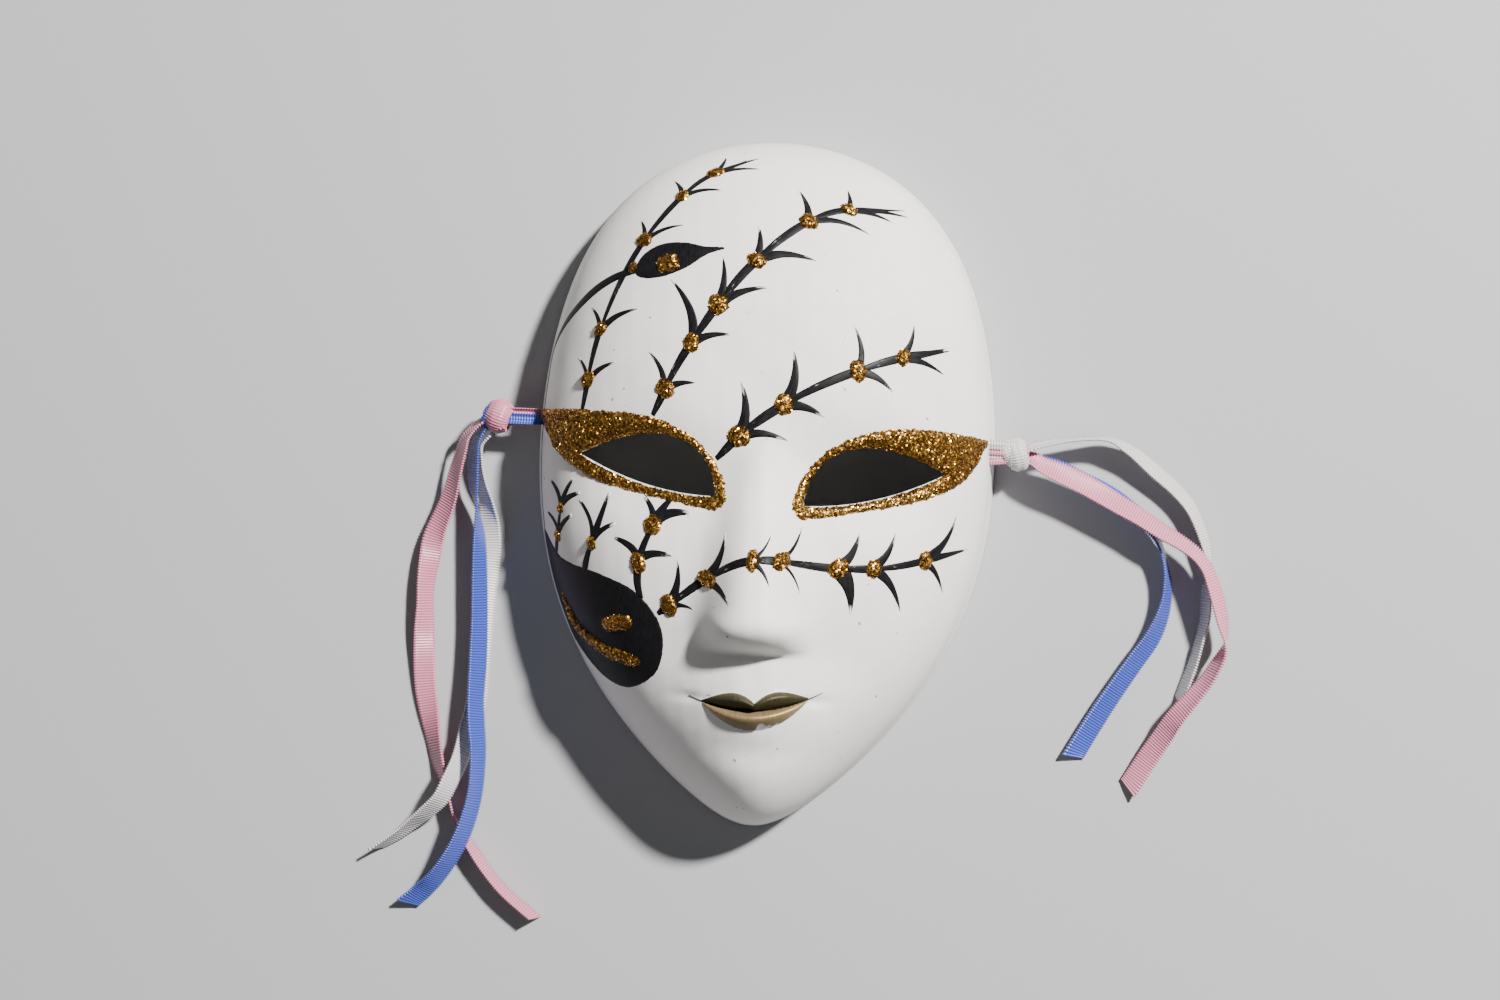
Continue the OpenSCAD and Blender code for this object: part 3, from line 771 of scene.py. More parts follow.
def twig(node, stem, buds, tips, half):
    """A painted twig: its stem swells towards each bud, where leaves part from it."""
    build = Build()
    line = curve(stem, 240)
    mapped = place(line)
    stops = [round(240 * share_along(stem, k)) for k in buds] + [240]
    start = 0
    for i, stop in enumerate(stops):
        last = i == len(buds)
        if last:
            width, dry = taper(half * 0.8, half * 0.7, 0.04, 0.2), fading(0.45)
        else:
            width, dry = taper(half * 0.6, half * 1.1, half, 0.85), dry_patch
        stroke(build, mapped[start:stop + 1], width, dry)
        start = stop
    for stop, pair in zip(stops, tips):
        run = line[min(240, stop + 6)] - line[max(0, stop - 6)]
        leaves(build, line[stop], unit(run), pair)
    build.make(node.replace("buds", "twig_paint"), ["black_paint"], "mask")
    glue = [blob(pick_along(stem, k), 1.12 - 0.12 * (i % 2)) for i, k in enumerate(buds)]
    glitter_piece(node + "_glitter", glue, node)


# The painted twigs by the CAD node of their buds: stem, the places of the buds along it, the leaves at each
# bud as heading in degrees, length and perhaps weight, and the stem's half width
TWIGS = {
    "outer_forehead_buds": (
        [(-24.8, 8.6), (-22.8, 19.5), (-18, 31), (-11, 40), (-4, 44)], [0.12, 0.26, 0.53, 0.7, 0.84],
        [[(116, 3.4), (32, 4.7)], [(115, 3.4), (29, 5.9)], [(103, 2.9), (22, 5.9)], [(122, 2.6), (8, 5.6)],
         [(62, 2.8), (22, 6.6), (6, 6.4)]], 0.58),
    "middle_forehead_buds": (
        [(-14.8, 8.5), (-10.5, 17.5), (-2.5, 29), (7, 36.5), (18, 38)], [0.12, 0.27, 0.38, 0.52, 0.7, 0.82],
        [[(117, 5.5), (12, 4.1)], [(111, 9), (12, 5.5)], [(87, 6.5), (20, 7.4)], [(90, 4.8), (1, 8.2)],
         [(110, 4.5), (-10, 8.4)], [(98, 2.8), (-14, 6.4), (-3, 8.2)]], 0.54),
    "brow_buds": (
        [(-6, 3), (-1.5, 7.5), (6, 12.5), (15, 16.5), (24.5, 19.3)], [0.18, 0.4, 0.68, 0.83],
        [[(90, 7.3), (-3, 6.6)], [(82, 7.3), (-15, 5.7)], [(98, 6), (-30, 5.5)],
         [(74, 4.9), (-19, 6), (12, 6.4)]], 0.52),
    "cheek_buds": (
        [(-13, -18), (-6.5, -13), (0, -10.2), (10, -10.9), (18, -10.5), (27, -8.2)],
        [0.06, 0.2, 0.39, 0.47, 0.62, 0.74, 0.89],
        [[(82, 6.2, 1.2), (-7, 3.4)], [(70, 6.6), (-45, 4.6, 1.2)], [(57, 4.2, 0.6), (-55, 4.1, 0.8)],
         [(62, 5.3, 0.5), (-58, 4.9, 0.4)], [(62, 5.4, 1.3), (-74, 6.4, 1.7)],
         [(61, 5.6, 1.3), (-56, 6.8, 1.1)], [(58, 7.6, 1.3), (-60, 5), (16, 6, 0.9)]], 0.46),
}
SPRIG_BUDS = [(-27.4, -4.5), (-27.7, -8.2), (-22.6, -9), (-15.9, -11.3), (-14.2, -6.2)]
SPRIG_BUD_R = [0.75, 0.75, 0.8, 1.1, 1.1]
# Sprigs under the left eye: stem, and the leaves at its buds, by the bud's number above
SPRIGS = [
    ([(-28, -11), (-27.8, -8), (-27.4, -4.5)],
     {0: [(114, 4.1), (67, 4.4), (38, 3.6)], 1: [(120, 3.6), (55, 3.5)]}),
    ([(-23.6, -13), (-23.2, -11), (-22.6, -9)], {2: [(109, 6.1), (72, 7.4), (41, 4.3)]}),
    ([(-15.5, -16), (-16, -13.4), (-15.6, -10), (-14.2, -6.2)],
     {3: [(137, 4.6), (14, 4.7)], 4: [(109, 3.9), (56, 4.7), (20, 5.4)]}),
]


def pick_along(points, k):
    """The place at share k of a stem, counted point by point as the CAD counts it."""
    points = np.asarray(points, float)
    padded = np.vstack([points[:1], points, points[-1:]])
    at = min(k, 0.9999) * (len(points) - 1)
    return between(*padded[int(at):int(at) + 4], at - int(at))


def share_along(points, k):
    """The same place as a share of the stem's length."""
    line = curve(points, 400)
    return float(np.argmin(np.linalg.norm(line - pick_along(points, k), axis=1))) / 400


def make_sprigs():
    build = Build()
    for stem, pairs in SPRIGS:
        line = curve(stem, 60)
        stroke(build, place(line), taper(0.5, 0.62, 0.3, 0.3))
        for number, tips in pairs.items():
            bud = np.array(SPRIG_BUDS[number])
            at = int(np.argmin(np.linalg.norm(line - bud, axis=1)))
            run = line[min(60, at + 3)] - line[max(0, at - 3)]
            leaves(build, bud, unit(run), tips, 0.9 if number == 2 else 1.15, 0.2, 0.1)
    build.make("sprig_twig_paint", ["black_paint"], "mask")
    glue = [blob(at, size) for at, size in zip(SPRIG_BUDS, SPRIG_BUD_R)]
    glitter_piece("sprig_buds_glitter", glue, "sprig_buds")


TEARDROP = [(-30.3, -7.4), (-27, -11.2), (-21.3, -13), (-16.6, -14.9), (-13.3, -18.2), (-12.1, -21.8),
            (-13, -26), (-16.6, -28.4), (-20.4, -27.4), (-24.4, -23.6), (-27.6, -18.6), (-29.8, -13.6)]
LEAF_SHAPE = [(-18.4, 27.9), (-17.2, 30.3), (-14.6, 31.8), (-11.4, 32), (-8.6, 31.5), (-5.2, 31.5),
              (-8.4, 30.3), (-11.2, 28.4), (-14.4, 27.1), (-17.2, 26.9)]
SWOOSH = [(-25.6, 23.8), (-21.6, 26.8), (-17.6, 28.2)]
EDGE_LINE_RHO = QUARTER - 0.13


def make_shapes():
    build = Build()
    for shape, spacing in ((TEARDROP, 0.35), (LEAF_SHAPE, 0.3)):
        film(build, [closed(place(smooth_closed(shape, 0.3)), spacing)], PAINT_T, dry=0.0)
    foot = to_map(np.full(3, EDGE_LINE_RHO), np.radians([169, 164, 158]))
    stroke(build, curve(np.vstack([foot, place(SWOOSH)]), 90), taper(0.3, 0.85, 0.5, 0.7))
    angles = np.radians(np.linspace(167, 198, 80))
    stroke(build, to_map(np.full(80, EDGE_LINE_RHO), angles), lambda k: 0.34 + 0.06 * np.sin(9 * k))
    build.make("teardrop_and_leaf_paint", ["black_paint"], "mask")


def lip_outline(top, bottom):
    u = np.linspace(-MOUTH_HALF_W + 0.05, MOUTH_HALF_W - 0.05, 90)
    loop = np.vstack([np.column_stack([u, top(u)]), np.column_stack([u[::-1], bottom(u[::-1])])])
    flat = np.column_stack([MOUTH_X + loop[:, 0], MOUTH_Y + MOUTH_SLOPE * loop[:, 0] + loop[:, 1]])
    return closed(place(flat), 0.14)


def chipped_edge(u):
    """The lower edge of the lip paint, with the chip that shows the ceramic."""
    chip = np.exp(-((u - 0.95) / 0.6) ** 4)
    chip = chip + 0.5 * np.exp(-((u - 2.0) / 0.4) ** 2) + 0.3 * np.exp(-((u - 3) / 0.3) ** 2)
    return np.minimum(lower_edge(u) + chip, mouth_line(u) - 0.1)


def make_lips():
    build = Build()
    upper = lip_outline(lambda u: bow(u) + 0.05, lambda u: mouth_line(u) + 0.02)
    lower = lip_outline(lambda u: mouth_line(u) - 0.02, chipped_edge)
    for slot, outline in enumerate((upper, lower)):
        film(build, [outline], LIP_PAINT_T, 0.14, 0.12, slot=slot, dry=0.0)
    line = np.linspace(-MOUTH_HALF_W - 1.6, MOUTH_HALF_W + 1.6, 60)
    spine = np.column_stack([MOUTH_X + line, MOUTH_Y + MOUTH_SLOPE * line + mouth_line(line)])
    stroke(build, place(spine), lambda k: 0.02 + 0.28 * np.sin(np.pi * k) ** 1.1, slot=2, lift=LIP_LINE_T)
    build.make("lip_paint", ["upper_lip_gold", "lower_lip_gold", "lip_line"], "mask")


# ---------------- glitter

GLITTER_H, GLITTER_GRAIN, GLITTER_ROUGH, GLITTER_SINK = 0.42, 0.28, 0.035, 0.2
FLAKE_SIZE, FLAKE_T, FLAKE_TILT = 0.115, 0.03, 0.27
BUD_FLAKES, MARK_FLAKES = 30.0, 26.0


def flakes(build, triangles, per_mm2, painted_light):
    """Scatters thin six-sided flakes over triangles, each lying at its own slant. Painted light, if given,
    says how much lighter the flakes' tones are painted at each place, where the light falls on them."""
    a, b, c = triangles[:, 0], triangles[:, 1], triangles[:, 2]
    cross = np.cross(b - a, c - a)
    area = np.linalg.norm(cross, axis=1) / 2
    count = int(area.sum() * per_mm2)
    which = draw.choice(len(area), count, p=area / area.sum())
    f, g = draw.uniform(size=count), draw.uniform(size=count)
    fold = f + g > 1
    f[fold], g[fold] = 1 - f[fold], 1 - g[fold]
    at = a[which] + (b - a)[which] * f[:, None] + (c - a)[which] * g[:, None]
    n = cross[which] / (2 * area[which])[:, None]
    n = n * np.sign(n[:, 2:3] + 1e-9)
    n = unit(n + draw.normal(size=(count, 3)) * FLAKE_TILT)
    side = unit(np.cross(n, draw.normal(size=(count, 3))))
    other = np.cross(n, side)
    radius = draw.uniform(FLAKE_SIZE * 0.7, FLAKE_SIZE * 1.25, count)
    at = at + n * draw.uniform(0.0, 0.1, count)[:, None]
    turns = (np.arange(6) * math.pi / 3)[None, :, None]
    ring = (np.cos(turns) * side[:, None] + np.sin(turns) * other[:, None]) * radius[:, None, None]
    low = at[:, None] + ring - n[:, None] * FLAKE_T / 2
    high = at[:, None] + ring + n[:, None] * FLAKE_T / 2
    points = np.concatenate([low, high], 1).reshape(-1, 3)
    faces = []
    for k in range(0, 12 * count, 12):
        faces += [tuple(k + j for j in range(5, -1, -1)), tuple(k + 6 + j for j in range(6))]
        faces += [(k + j, k + (j + 1) % 6, k + 6 + (j + 1) % 6, k + 6 + j) for j in range(6)]
    tone = draw.uniform(size=count) ** 1.9
    # Painted light: flakes get lighter tones where the light is meant to fall on them
    if painted_light is not None:
        tone = np.minimum(1, tone * (1 + 0.45 * painted_light(at)) + 0.08 * painted_light(at))
    build.add(points, faces, 1, tone=np.repeat(tone, 12))


def glitter_piece(name, coats, node, per_mm2=BUD_FLAKES, edge=0.55, trace=None, painted_light=None):
    """Coats of glue with flakes, as one piece. Each coat is an outline on the map, perhaps with holes."""
    build = Build()
    for loops in coats:
        top = film(build, loops, GLITTER_H, GLITTER_GRAIN, edge, rough=GLITTER_ROUGH, sink=GLITTER_SINK,
                   trace=trace, tone=0.3)
        flakes(build, top, per_mm2, painted_light)
    piece = build.make(name, ["glitter_glue", "gold_flake"], "mask")
    for polygon, slot in zip(piece.data.polygons, build.slots):
        polygon.use_smooth = slot == 0
    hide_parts(node)


BAND_ABOVE = [(5.6, -4.3), (4.4, -2.6), (5.6, 1.3), (8.8, 5), (13.6, 7.5), (19, 8.4), (24.8, 8.3),
              (30.6, 7.6)]
BAND_BELOW = [(5.6, -4.3), (8.6, -3.9), (12.1, -3.2), (15.9, -2.5), (19.8, -1.6), (24.2, -0.1), (28, 2.6),
              (30.6, 7.6)]
UPPER_GAP, LOWER_GAP = -0.14, 0.16


def ragged(loop, depth, seed):
    """An uneven, grainy edge."""
    k = np.arange(len(loop))
    wave = np.sin(k * 1.7 + seed) + np.sin(k * 0.61 + 2 * seed) + draw.normal(size=len(loop)) * 0.8
    return loop + outward(loop) * (depth * wave)[:, None]


def eye_band(side):
    """The outline of one glitter band, and that of the eye opening in it."""
    outer = np.vstack([curve(BAND_ABOVE, 90), curve(BAND_BELOW, 90)[::-1][1:-1]])
    k = np.linspace(0, 1, 70)
    upper, lower = eye_upper(k ** 1.5), eye_lower(k)
    hole = np.vstack([upper, lower[::-1][1:-1]])
    gap = np.concatenate([np.full(len(upper), UPPER_GAP), np.full(len(lower) - 2, LOWER_GAP)])
    gap = np.convolve(np.concatenate([gap[-4:], gap, gap[:4]]), np.ones(9) / 9, "valid")
    hole = hole + outward(hole) * gap[:, None]
    outer = ragged(closed(outer, GLITTER_GRAIN), 0.05, 3.0 + side)
    hole = ragged(closed(hole, GLITTER_GRAIN), 0.02, 5.0 + side)
    if side < 0:
        outer = outer + np.clip((outer[:, :1] - 22) / 8, 0, 1) * (0.7, 0.9)
    return place(on_side(outer, side)), place(on_side(hole, side))


def make_bands():
    for side, name in ((-1, "left"), (1, "right")):
        # Painted light on the band's lower part, under the eye: its flakes get lighter tones there
        glitter_piece(name + "_eye_band", [eye_band(side)], name + "_eye_glitter", edge=0.6, trace=0.08,
                      painted_light=lambda at: np.clip((0.5 - at[:, 1]) / 2, 0, 1))


def blob(at, radius):
    """The outline of a drop of glue set at a place on the face, as a glitter piece takes it."""
    turns = np.linspace(0, 2 * math.pi, 22, endpoint=False)
    wave = 0.09 * np.sin(2 * turns + draw.uniform(0, 6)) + 0.06 * np.sin(5 * turns + draw.uniform(0, 6))
    size = radius * (1 + wave)
    return [place([at])[0] + np.stack([size * np.cos(turns), size * np.sin(turns)], -1)]


def mark_outline(spine, start, end):
    """A mark along a curve, with its half width near the start and near the end."""
    line = curve(spine, 30)
    run = np.gradient(line, axis=0)
    side = unit(np.stack([-run[:, 1], run[:, 0]], -1))
    k = np.linspace(-1, 1, 31)
    wide = side * (np.interp(k, (-1, 1), (start, end)) * np.maximum(0.05, 1 - k ** 6) ** 0.5)[:, None]
    return [place(ragged(closed(np.vstack([line + wide, (line - wide)[::-1]]), GLITTER_GRAIN), 0.04, 1.0))]


def make_marks():
    oval = mark_outline([(-20.7, -19.9), (-18.6, -19.6), (-16.5, -19.3)], 1.1, 1.1)
    glitter_piece("teardrop_oval_mark", [oval], "teardrop_oval_glitter", MARK_FLAKES)
    crescent = mark_outline([(-27, -16), (-24.6, -20.4), (-20.4, -23.4), (-15.2, -24.9)], 0.14, 1.05)
    glitter_piece("teardrop_crescent_mark", [crescent], "teardrop_crescent_glitter", MARK_FLAKES)
    leaf_oval = mark_outline([(-15.2, 28.6), (-13.7, 29), (-12.2, 29.4)], 1.2, 1.1)
    glitter_piece("leaf_oval_mark", [leaf_oval, blob((-18.6, 28.4), 0.7)], "leaf_oval_glitter", MARK_FLAKES)


# ---------------- ribbons

RIBBON_HALF_W, RIBBON_HALF_T = 1.5, 0.1
RIB_PITCH, RIB_RISE, RINGS_PER_RIB = 0.38, 0.55, 4


def strip(build, centre, side, half_w, cup, loop=False, slot=0, slant=0.0, pleat=0.0):
    """A ribbon along centre, spread along side. Cup lifts its edges and pleat folds it lengthwise; ribs run
    across it and end in a bumpy selvedge."""
    n = len(centre)
    run = np.roll(centre, -1, 0) - np.roll(centre, 1, 0) if loop else np.gradient(centre, axis=0)
    run = unit(run)
    side = unit(side - run * np.sum(side * run, axis=1)[:, None])
    up = np.cross(side, run)
    travel = np.concatenate([[0], np.cumsum(np.linalg.norm(np.diff(centre, axis=0), axis=1))])
    rib = np.cos(2 * math.pi * travel / RIB_PITCH)
    across = np.linspace(-1, 1, 21 if pleat else 9)
    half_w, cup = np.broadcast_to(half_w, n), np.broadcast_to(cup, n)
    pull = slant * np.clip((travel - travel[-1] + 2.5) / 2.5, 0, 1) ** 2
    last = 2 * len(across) - 1
    rings, weave = np.zeros((n, last + 1, 3)), np.zeros((n, last + 1, 3))
    for j, a in enumerate(across):
        edge = abs(a) > 0.95
        w = half_w * a * (1 + (0.05 * rib if edge else 0))
        t = RIBBON_HALF_T * (1 + RIB_RISE * rib) * (1.5 if edge else 1)
        lift = cup * (a * a - 0.4) + pleat * np.cos(7.5 * a + 0.25 * np.sin(travel))
        base = centre + side * w[:, None] + up * lift[:, None] + run * (pull * a)[:, None]
        rings[:, j] = base + up * t[:, None]
        rings[:, last - j] = base - up * t[:, None]
        weave[:, j] = weave[:, last - j] = np.stack([w, travel, 0 * travel], -1)
    build.loft(rings, loop=loop, slot=slot, weave=weave)


# Routes of the free ribbons as the CAD has them: x, y, height, and how far the ribbon rolls about its own
# line, in degrees. The slant is that of the cut end.
RIBBONS = {
    "left_pink": dict(slant=0.5, route=[
        (-39.7, 7, 5.6, -68), (-41.7, 5, 4.8, -63), (-42.5, 2.7, 4.2, -57), (-43.2, 0.2, 3.6, -50),
        (-44.2, -4.1, 2.8, -39), (-45.9, -8.5, 2, -20), (-46.5, -11.2, 1.7, 15), (-47, -15.7, 1.6, 45),
        (-47, -19, 1.6, 48), (-47, -23.9, 1.2, 22), (-46.7, -29.5, 0.8, 0), (-46.1, -33, 0.9, -15),
        (-45.2, -37.2, 1.3, -42), (-44.2, -41.3, 1.6, -55), (-42.4, -46.9, 1.8, -77),
        (-40.6, -50.4, 1.8, -95), (-39, -52.7, 1.7, -106), (-36.9, -55.6, 1.6, -107),
        (-34.1, -58.7, 1.6, -107), (-29.8, -62.2, 1.5, -107)]),
    "left_blue": dict(slant=-0.7, route=[
        (-39.2, 6.2, 5.3, -62), (-40.3, 4.3, 4.6, -64), (-40.7, 1.7, 4.2, -58), (-40.6, -1.8, 3.8, -62),
        (-40, -5.3, 3.4, -88), (-39.6, -9.5, 3, -116), (-39.4, -15.1, 2.8, -126),
        (-39.2, -20.7, 2.7, -130), (-39.1, -26.3, 2.9, -136), (-39.1, -31.8, 3.5, -130),
        (-38.8, -35.3, 4.2, -132), (-38.4, -38.7, 4.5, -127), (-38.4, -42.9, 4.8, -123),
        (-38.8, -46.1, 4.9, -125), (-39.9, -50.2, 5.1, -130), (-41.7, -54, 4.3, -132),
        (-43.9, -57.2, 3, -136), (-45.9, -59.2, 1.8, -142), (-47.8, -60.9, 1.3, -146)]),
    "left_white": dict(slant=0.6, route=[
        (-38.3, 5.6, 4.7, -70), (-39.8, 3.8, 3.6, -70), (-40, 1, 2.8, -65), (-39.6, -1.8, 2.2, -58),
        (-38.9, -4.5, 1.7, -42), (-38.4, -8, 1, -12), (-38.3, -11.6, 0.7, 8), (-38.7, -17.9, 0.8, 18),
        (-39, -25, 1, 25), (-39.3, -32, 1.3, 32), (-40.1, -35.9, 1.9, 40), (-40.9, -39.9, 3, 45),
        (-42.1, -43.2, 4.7, 46), (-43.3, -45.7, 4.8, 49), (-45.5, -47.9, 3.8, 55), (-47.7, -49.8, 2.6, 64),
        (-49.8, -51.5, 2, 68), (-52.6, -53.4, 1.6, 76)]),
    "right_white": dict(slant=0.4, route=[
        (36.9, 6.5, 6.2, 66), (38.2, 7, 6, 70), (40.6, 7.6, 5.5, 78), (43.4, 8, 4.8, 82),
        (46.3, 8.2, 4, 82), (48, 8, 3.5, 75), (49.4, 7.4, 3.1, 66), (51.4, 6.3, 2.6, 56),
        (54.1, 4.2, 2.1, 50), (57.1, 1.8, 1.8, 52), (59.3, -0.6, 1.7, 55), (60.7, -3.2, 1.7, 58),
        (61.9, -6.6, 1.7, 64), (62.4, -9.1, 1.7, 82), (62.1, -12.2, 1.7, 108), (62, -16.3, 1.7, 110),
        (61.4, -19.2, 1.7, 105), (60.8, -22, 1.7, 106), (59.9, -24.8, 1.7, 108), (58.9, -27.8, 1.7, 108)]),
    "right_pink": dict(slant=0.5, route=[
        (37.1, 4.9, 5.6, 30), (38.6, 4, 5.6, 32), (40.8, 3.2, 5.6, 25), (43.7, 2, 5.4, 22),
        (46.5, 0.6, 5.2, 26), (49.3, -0.9, 5, 33), (52.2, -2.4, 4.9, 39), (55, -4.1, 4.8, 44),
        (57.8, -5.6, 4.8, 50), (60.2, -7.3, 4.9, 54), (61.7, -9.2, 4.9, 56), (62.6, -11.4, 4.9, 52),
        (63.4, -13.8, 4.8, 50), (64.1, -16.4, 4.7, 56), (64.6, -18.9, 4.6, 76), (64.3, -20.7, 4.5, 106),
        (63.5, -22.4, 4.6, 115), (62.2, -24.7, 4.7, 122), (60.2, -27.4, 4.6, 130), (58.3, -30, 4, 139),
        (56.8, -32.7, 2.8, 148), (54.9, -35.9, 1.8, 156), (52.4, -40.3, 0.9, 160)]),
    "right_blue": dict(slant=0.6, route=[
        (37.1, 4.8, 4.5, 30), (38.6, 4.3, 4.5, 32), (40.9, 3.5, 4.4, 27), (43.7, 2.2, 4.1, 26),
        (46.6, 1, 3.9, 28), (49.4, -0.5, 3.6, 34), (52.3, -2.5, 3.3, 46), (54.1, -4.1, 3, 60),
        (55.4, -6.3, 2.6, 76), (56.3, -9.1, 2.2, 75), (56.6, -11.7, 1.9, 68), (56.5, -14.1, 1.8, 60),
        (55.8, -16.9, 1.6, 49), (54.6, -19.6, 1.4, 40), (52.9, -22.2, 1.3, 36), (50.7, -25.7, 1.2, 33),
        (48.5, -29.3, 1, 28), (46.3, -33.1, 0.9, 23), (44.5, -36.3, 0.9, 20)]),
}


def make_ribbon(name, route, slant):
    """One free ribbon, laid on its route: gathered inside the knot, at its full width further out."""
    hand, colour = name.split("_")
    start, knot = np.array(route[0], float), knot_centre(hand + "_outer_knot")
    root = np.append(start[:3] * 0.35 + knot * 0.65, start[3])
    fine = curve(np.vstack([root, route]), 400)
    fine = even(fine, round(length_of(fine[:, :3]) / RIB_PITCH * RINGS_PER_RIB))
    line, turn = fine[:, :3].copy(), np.radians(fine[:, 3])
    for _ in range(12):
        line[1:-1] = (line[:-2] + 2 * line[1:-1] + line[2:]) / 4
    travel = np.linspace(0, length_of(line), len(line))
    run = np.gradient(line, axis=0)
    flat = unit(np.stack([run[:, 1], -run[:, 0], 0 * travel], -1))
    up = np.cross(flat, unit(run))
    turn = np.convolve(np.pad(turn, 15, "edge"), np.ones(31) / 31, "valid")
    side = flat * np.cos(turn)[:, None] + up * np.sin(turn)[:, None]
    half_w = RIBBON_HALF_W * (0.5 + 0.5 * np.clip(travel / 6, 0, 1) ** 0.7)
    line[:, 2] = np.maximum(line[:, 2], np.abs(side[:, 2]) * half_w + 0.16)
    cup = 0.45 * np.exp(-travel / 4) + 0.09 * np.sin(travel / 4.3 + start[0])
    build = Build()
    strip(build, line, side, half_w, cup, slant=slant)
    piece = build.make(name + "_satin", [colour + "_satin"], hand + "_tails")
    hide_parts(name + "_ribbon")
    return piece, line * MM


def knot_centre(name):
    low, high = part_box(name)
    return np.array((low + high) / 2) / MM


def wrap(build, centre, axis, radius, half_w, slot, pleat):
    """A turn of ribbon round a knot: a barrel-shaped band about an axis."""
    axis = unit(np.array(axis, float))
    first = unit(np.cross(axis, (0, 0, 1)))
    second = np.cross(axis, first)
    count = round(2 * math.pi * radius / RIB_PITCH) * RINGS_PER_RIB
    turns = np.linspace(0, 2 * math.pi, count, endpoint=False)
    line = centre + (np.cos(turns)[:, None] * first + np.sin(turns)[:, None] * second) * radius
    cup = 0.5 * half_w * half_w / radius + 0.12
    strip(build, line, np.tile(axis, (count, 1)), half_w, cup, loop=True, slot=slot, pleat=pleat)


def curl(build, centre, size, half_w):
    """A rolled-up ribbon edge that faces up."""
    turn = np.linspace(0.3, 3.2 * math.pi, 90)
    radius = size * (1 - 0.075 * turn)
    line = centre + np.stack([radius * np.cos(turn), radius * np.sin(turn), 0 * turn], -1)
    strip(build, line, np.tile((0.25, -0.15, 1.0), (90, 1)), half_w, 0.0)


# Each knot's materials, and its turns of ribbon: offset from its centre, axis, radius, half width, material
# and pleat
INNER_TURNS = (("white_satin", "pink_satin"), [
    ((0, 0, 0), (1, 0.35, 0.2), 1.95, 1.2, 0, 0.06),
    ((0, 0, 0), (1, -0.45, 0.1), 1.75, 1.3, 1, 0),
    ((0, 0, 0), (0.5, 1, 0.5), 1.6, 1.2, 0, 0)])
KNOTS = {
    "left_outer_knot": (("pink_satin", "blue_satin"), [
        ((0.1, 0, 0.1), (1, -0.36, 0.05), 2.02, 1.62, 0, 0.03),
        ((-1.25, 0.15, -0.2), (1, -0.5, 0), 1.7, 0.75, 1, 0),
        ((0.9, 0.25, -0.2), (1, 0.3, 0.2), 1.45, 0.75, 0, 0),
        ((-0.35, 0.1, -0.1), (0.15, 0.6, 1), 1.62, 1.15, 1, 0),
        ((-0.1, 0, -0.1), (0.2, 1, -0.5), 1.6, 1.1, 0, 0)]),
    "left_inner_knot": INNER_TURNS,
    "right_outer_knot": (("white_satin", "blue_satin", "pink_satin"), [
        ((0.3, 0, 0.1), (1, 0.28, 0), 1.98, 1.25, 0, 0.045),
        ((-0.85, 0.15, 0), (1, 0.6, 0.1), 1.66, 0.9, 0, 0.03),
        ((1.2, 0.2, -0.1), (1, 0.4, 0.1), 1.68, 0.45, 1, 0),
        ((0.9, -0.3, 0), (1, -0.2, 0), 1.5, 0.75, 2, 0),
        ((0.1, 0, -0.1), (0.1, 0.5, 1), 1.6, 1.1, 2, 0)]),
    "right_inner_knot": INNER_TURNS,
}


def make_knot(hand, name):
    """The overhand knot outside a hole, or the one inside that keeps the ribbons from slipping out."""
    centre = knot_centre(name)
    materials, turns = KNOTS[name]
    build = Build()
    for offset, *turn in turns:
        wrap(build, centre + offset, *turn)
    if name == "left_outer_knot":
        curl(build, centre + (0.5, -1.35, 1.15), 0.55, 0.6)
    piece = build.make(name + "_satin", materials, hand + "_tie")
    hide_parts(name)


# The folded strands of each ribbon between its knots: y and z from the hole's middle where they pass the
# wall, y and z from the same at the outer knot, half width, and the lean of the strand's width from upright
STRANDS = {
    "left_pink": [(0.8, 0.7, 0.9, 0.5, 0.42, 60)],
    "left_blue": [(-0.25, 0.85, -0.25, 0.8, 0.72, 92)],
    "left_white": [(-0.3, -0.8, 0, -0.7, 0.6, 90)],
    "right_white": [(0.95, 0.75, 0.95, 1.0, 0.8, 68), (-0.5, 0.75, -0.3, 0.5, 0.28, 100)],
    "right_pink": [(0.05, 1.0, 0, 1.0, 0.36, 75), (-1.1, 0.7, -0.7, 0.6, 0.4, 115)],
    "right_blue": [(-0.7, 0.3, -0.5, 0.2, 0.5, 90)],
}
WALL_X = 30.0


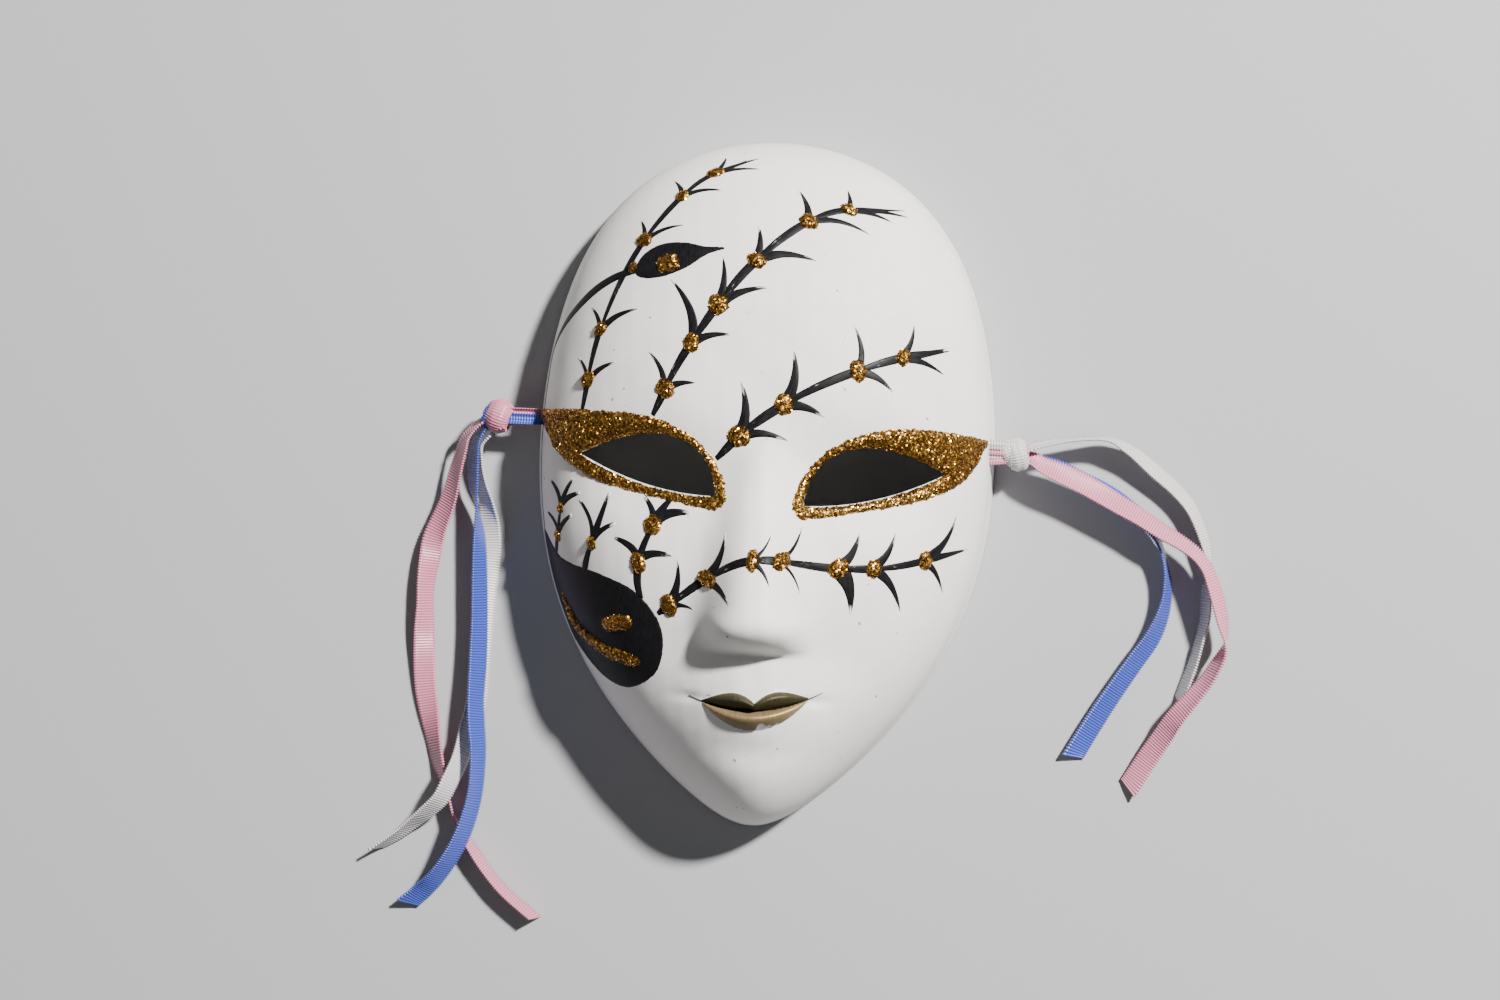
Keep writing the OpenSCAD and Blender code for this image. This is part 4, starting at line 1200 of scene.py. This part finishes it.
def make_necks(side, name):
    """The three ribbons drawn together through a hole, each folded to less than half its width."""
    outer, inner = knot_centre(name + "_outer_knot"), knot_centre(name + "_inner_knot")
    for colour in ("pink", "blue", "white"):
        build = Build()
        for wall_y, wall_z, knot_y, knot_z, half_w, lean in STRANDS[f"{name}_{colour}"]:
            at_wall = (side * WALL_X, inner[1] + wall_y, inner[2] + wall_z)
            line = curve([inner, at_wall, (outer[0], inner[1] + knot_y, inner[2] + knot_z)], 120)
            lean = math.radians(lean)
            spread = np.tile((0, math.sin(lean), math.cos(lean)), (121, 1))
            strip(build, line, spread, half_w, 0.22, pleat=0.03)
        node = f"{name}_{colour}_neck"
        piece = build.make(node + "_satin", [colour + "_satin"], name + "_tie")
        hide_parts(node)


# ---------------- the scene

make_camera()
bisque_material()
paint_material("black_paint", (0.0025, 0.0025, 0.003), (0.012, 0.012, 0.014), 0.42)
# The upper lip's gold is painted far darker than the lower lip's: partly the paint's own dark olive, partly
# painted shade, as the upper lip faces down. Each lip also has a painted shadow: the upper lip darkest at the
# mouth line and clearing towards the bow, the lower lip darkest at its bottom edge and clearing towards the
# mouth line.
lip_line_y, bow_y, lower_lip_y = place([(MOUTH_X, MOUTH_Y + rise) for rise in (0.1, 1.5, -2.5)])[:, 1]
paint_material("upper_lip_gold", (0.03, 0.026, 0.013), (0.085, 0.073, 0.04), 0.42, 0.4,
               ((0.008, 0.007, 0.004), lip_line_y, bow_y))
paint_material("lower_lip_gold", (0.22, 0.155, 0.07), (0.42, 0.31, 0.165), 0.4, 0.4,
               ((0.07, 0.055, 0.025), lower_lip_y, lip_line_y))
paint_material("lip_line", (0.008, 0.007, 0.005), (0.03, 0.026, 0.016), 0.5)
glitter_glue_material()
flake_material()
# Each satin: its lit colour, then a darker copy of it for the painted shade between the ribs
satin_material("pink_satin", (0.63, 0.235, 0.33), (0.37, 0.095, 0.155))
satin_material("blue_satin", (0.055, 0.09, 0.46), (0.014, 0.025, 0.18))
satin_material("white_satin", (0.60, 0.585, 0.58), (0.36, 0.35, 0.35))

for ribbon_name, facts in RIBBONS.items():
    make_ribbon(ribbon_name, **facts)
for hand, sign in (("left", -1), ("right", 1)):
    make_knot(hand, hand + "_outer_knot")
    make_knot(hand, hand + "_inner_knot")
    make_necks(sign, hand)

make_shell()
for bud_node, facts in TWIGS.items():
    twig(bud_node, *facts)
make_sprigs()
make_shapes()
make_lips()
make_bands()
make_marks()

make_floor()
make_world()
make_light("key", place=(0.42, 0.40, 0.66), size=0.075, power=24.5, colour=(1.0, 0.98, 0.95))
make_light("fill", place=(-0.55, -0.25, 0.6), size=0.6, power=0.45)
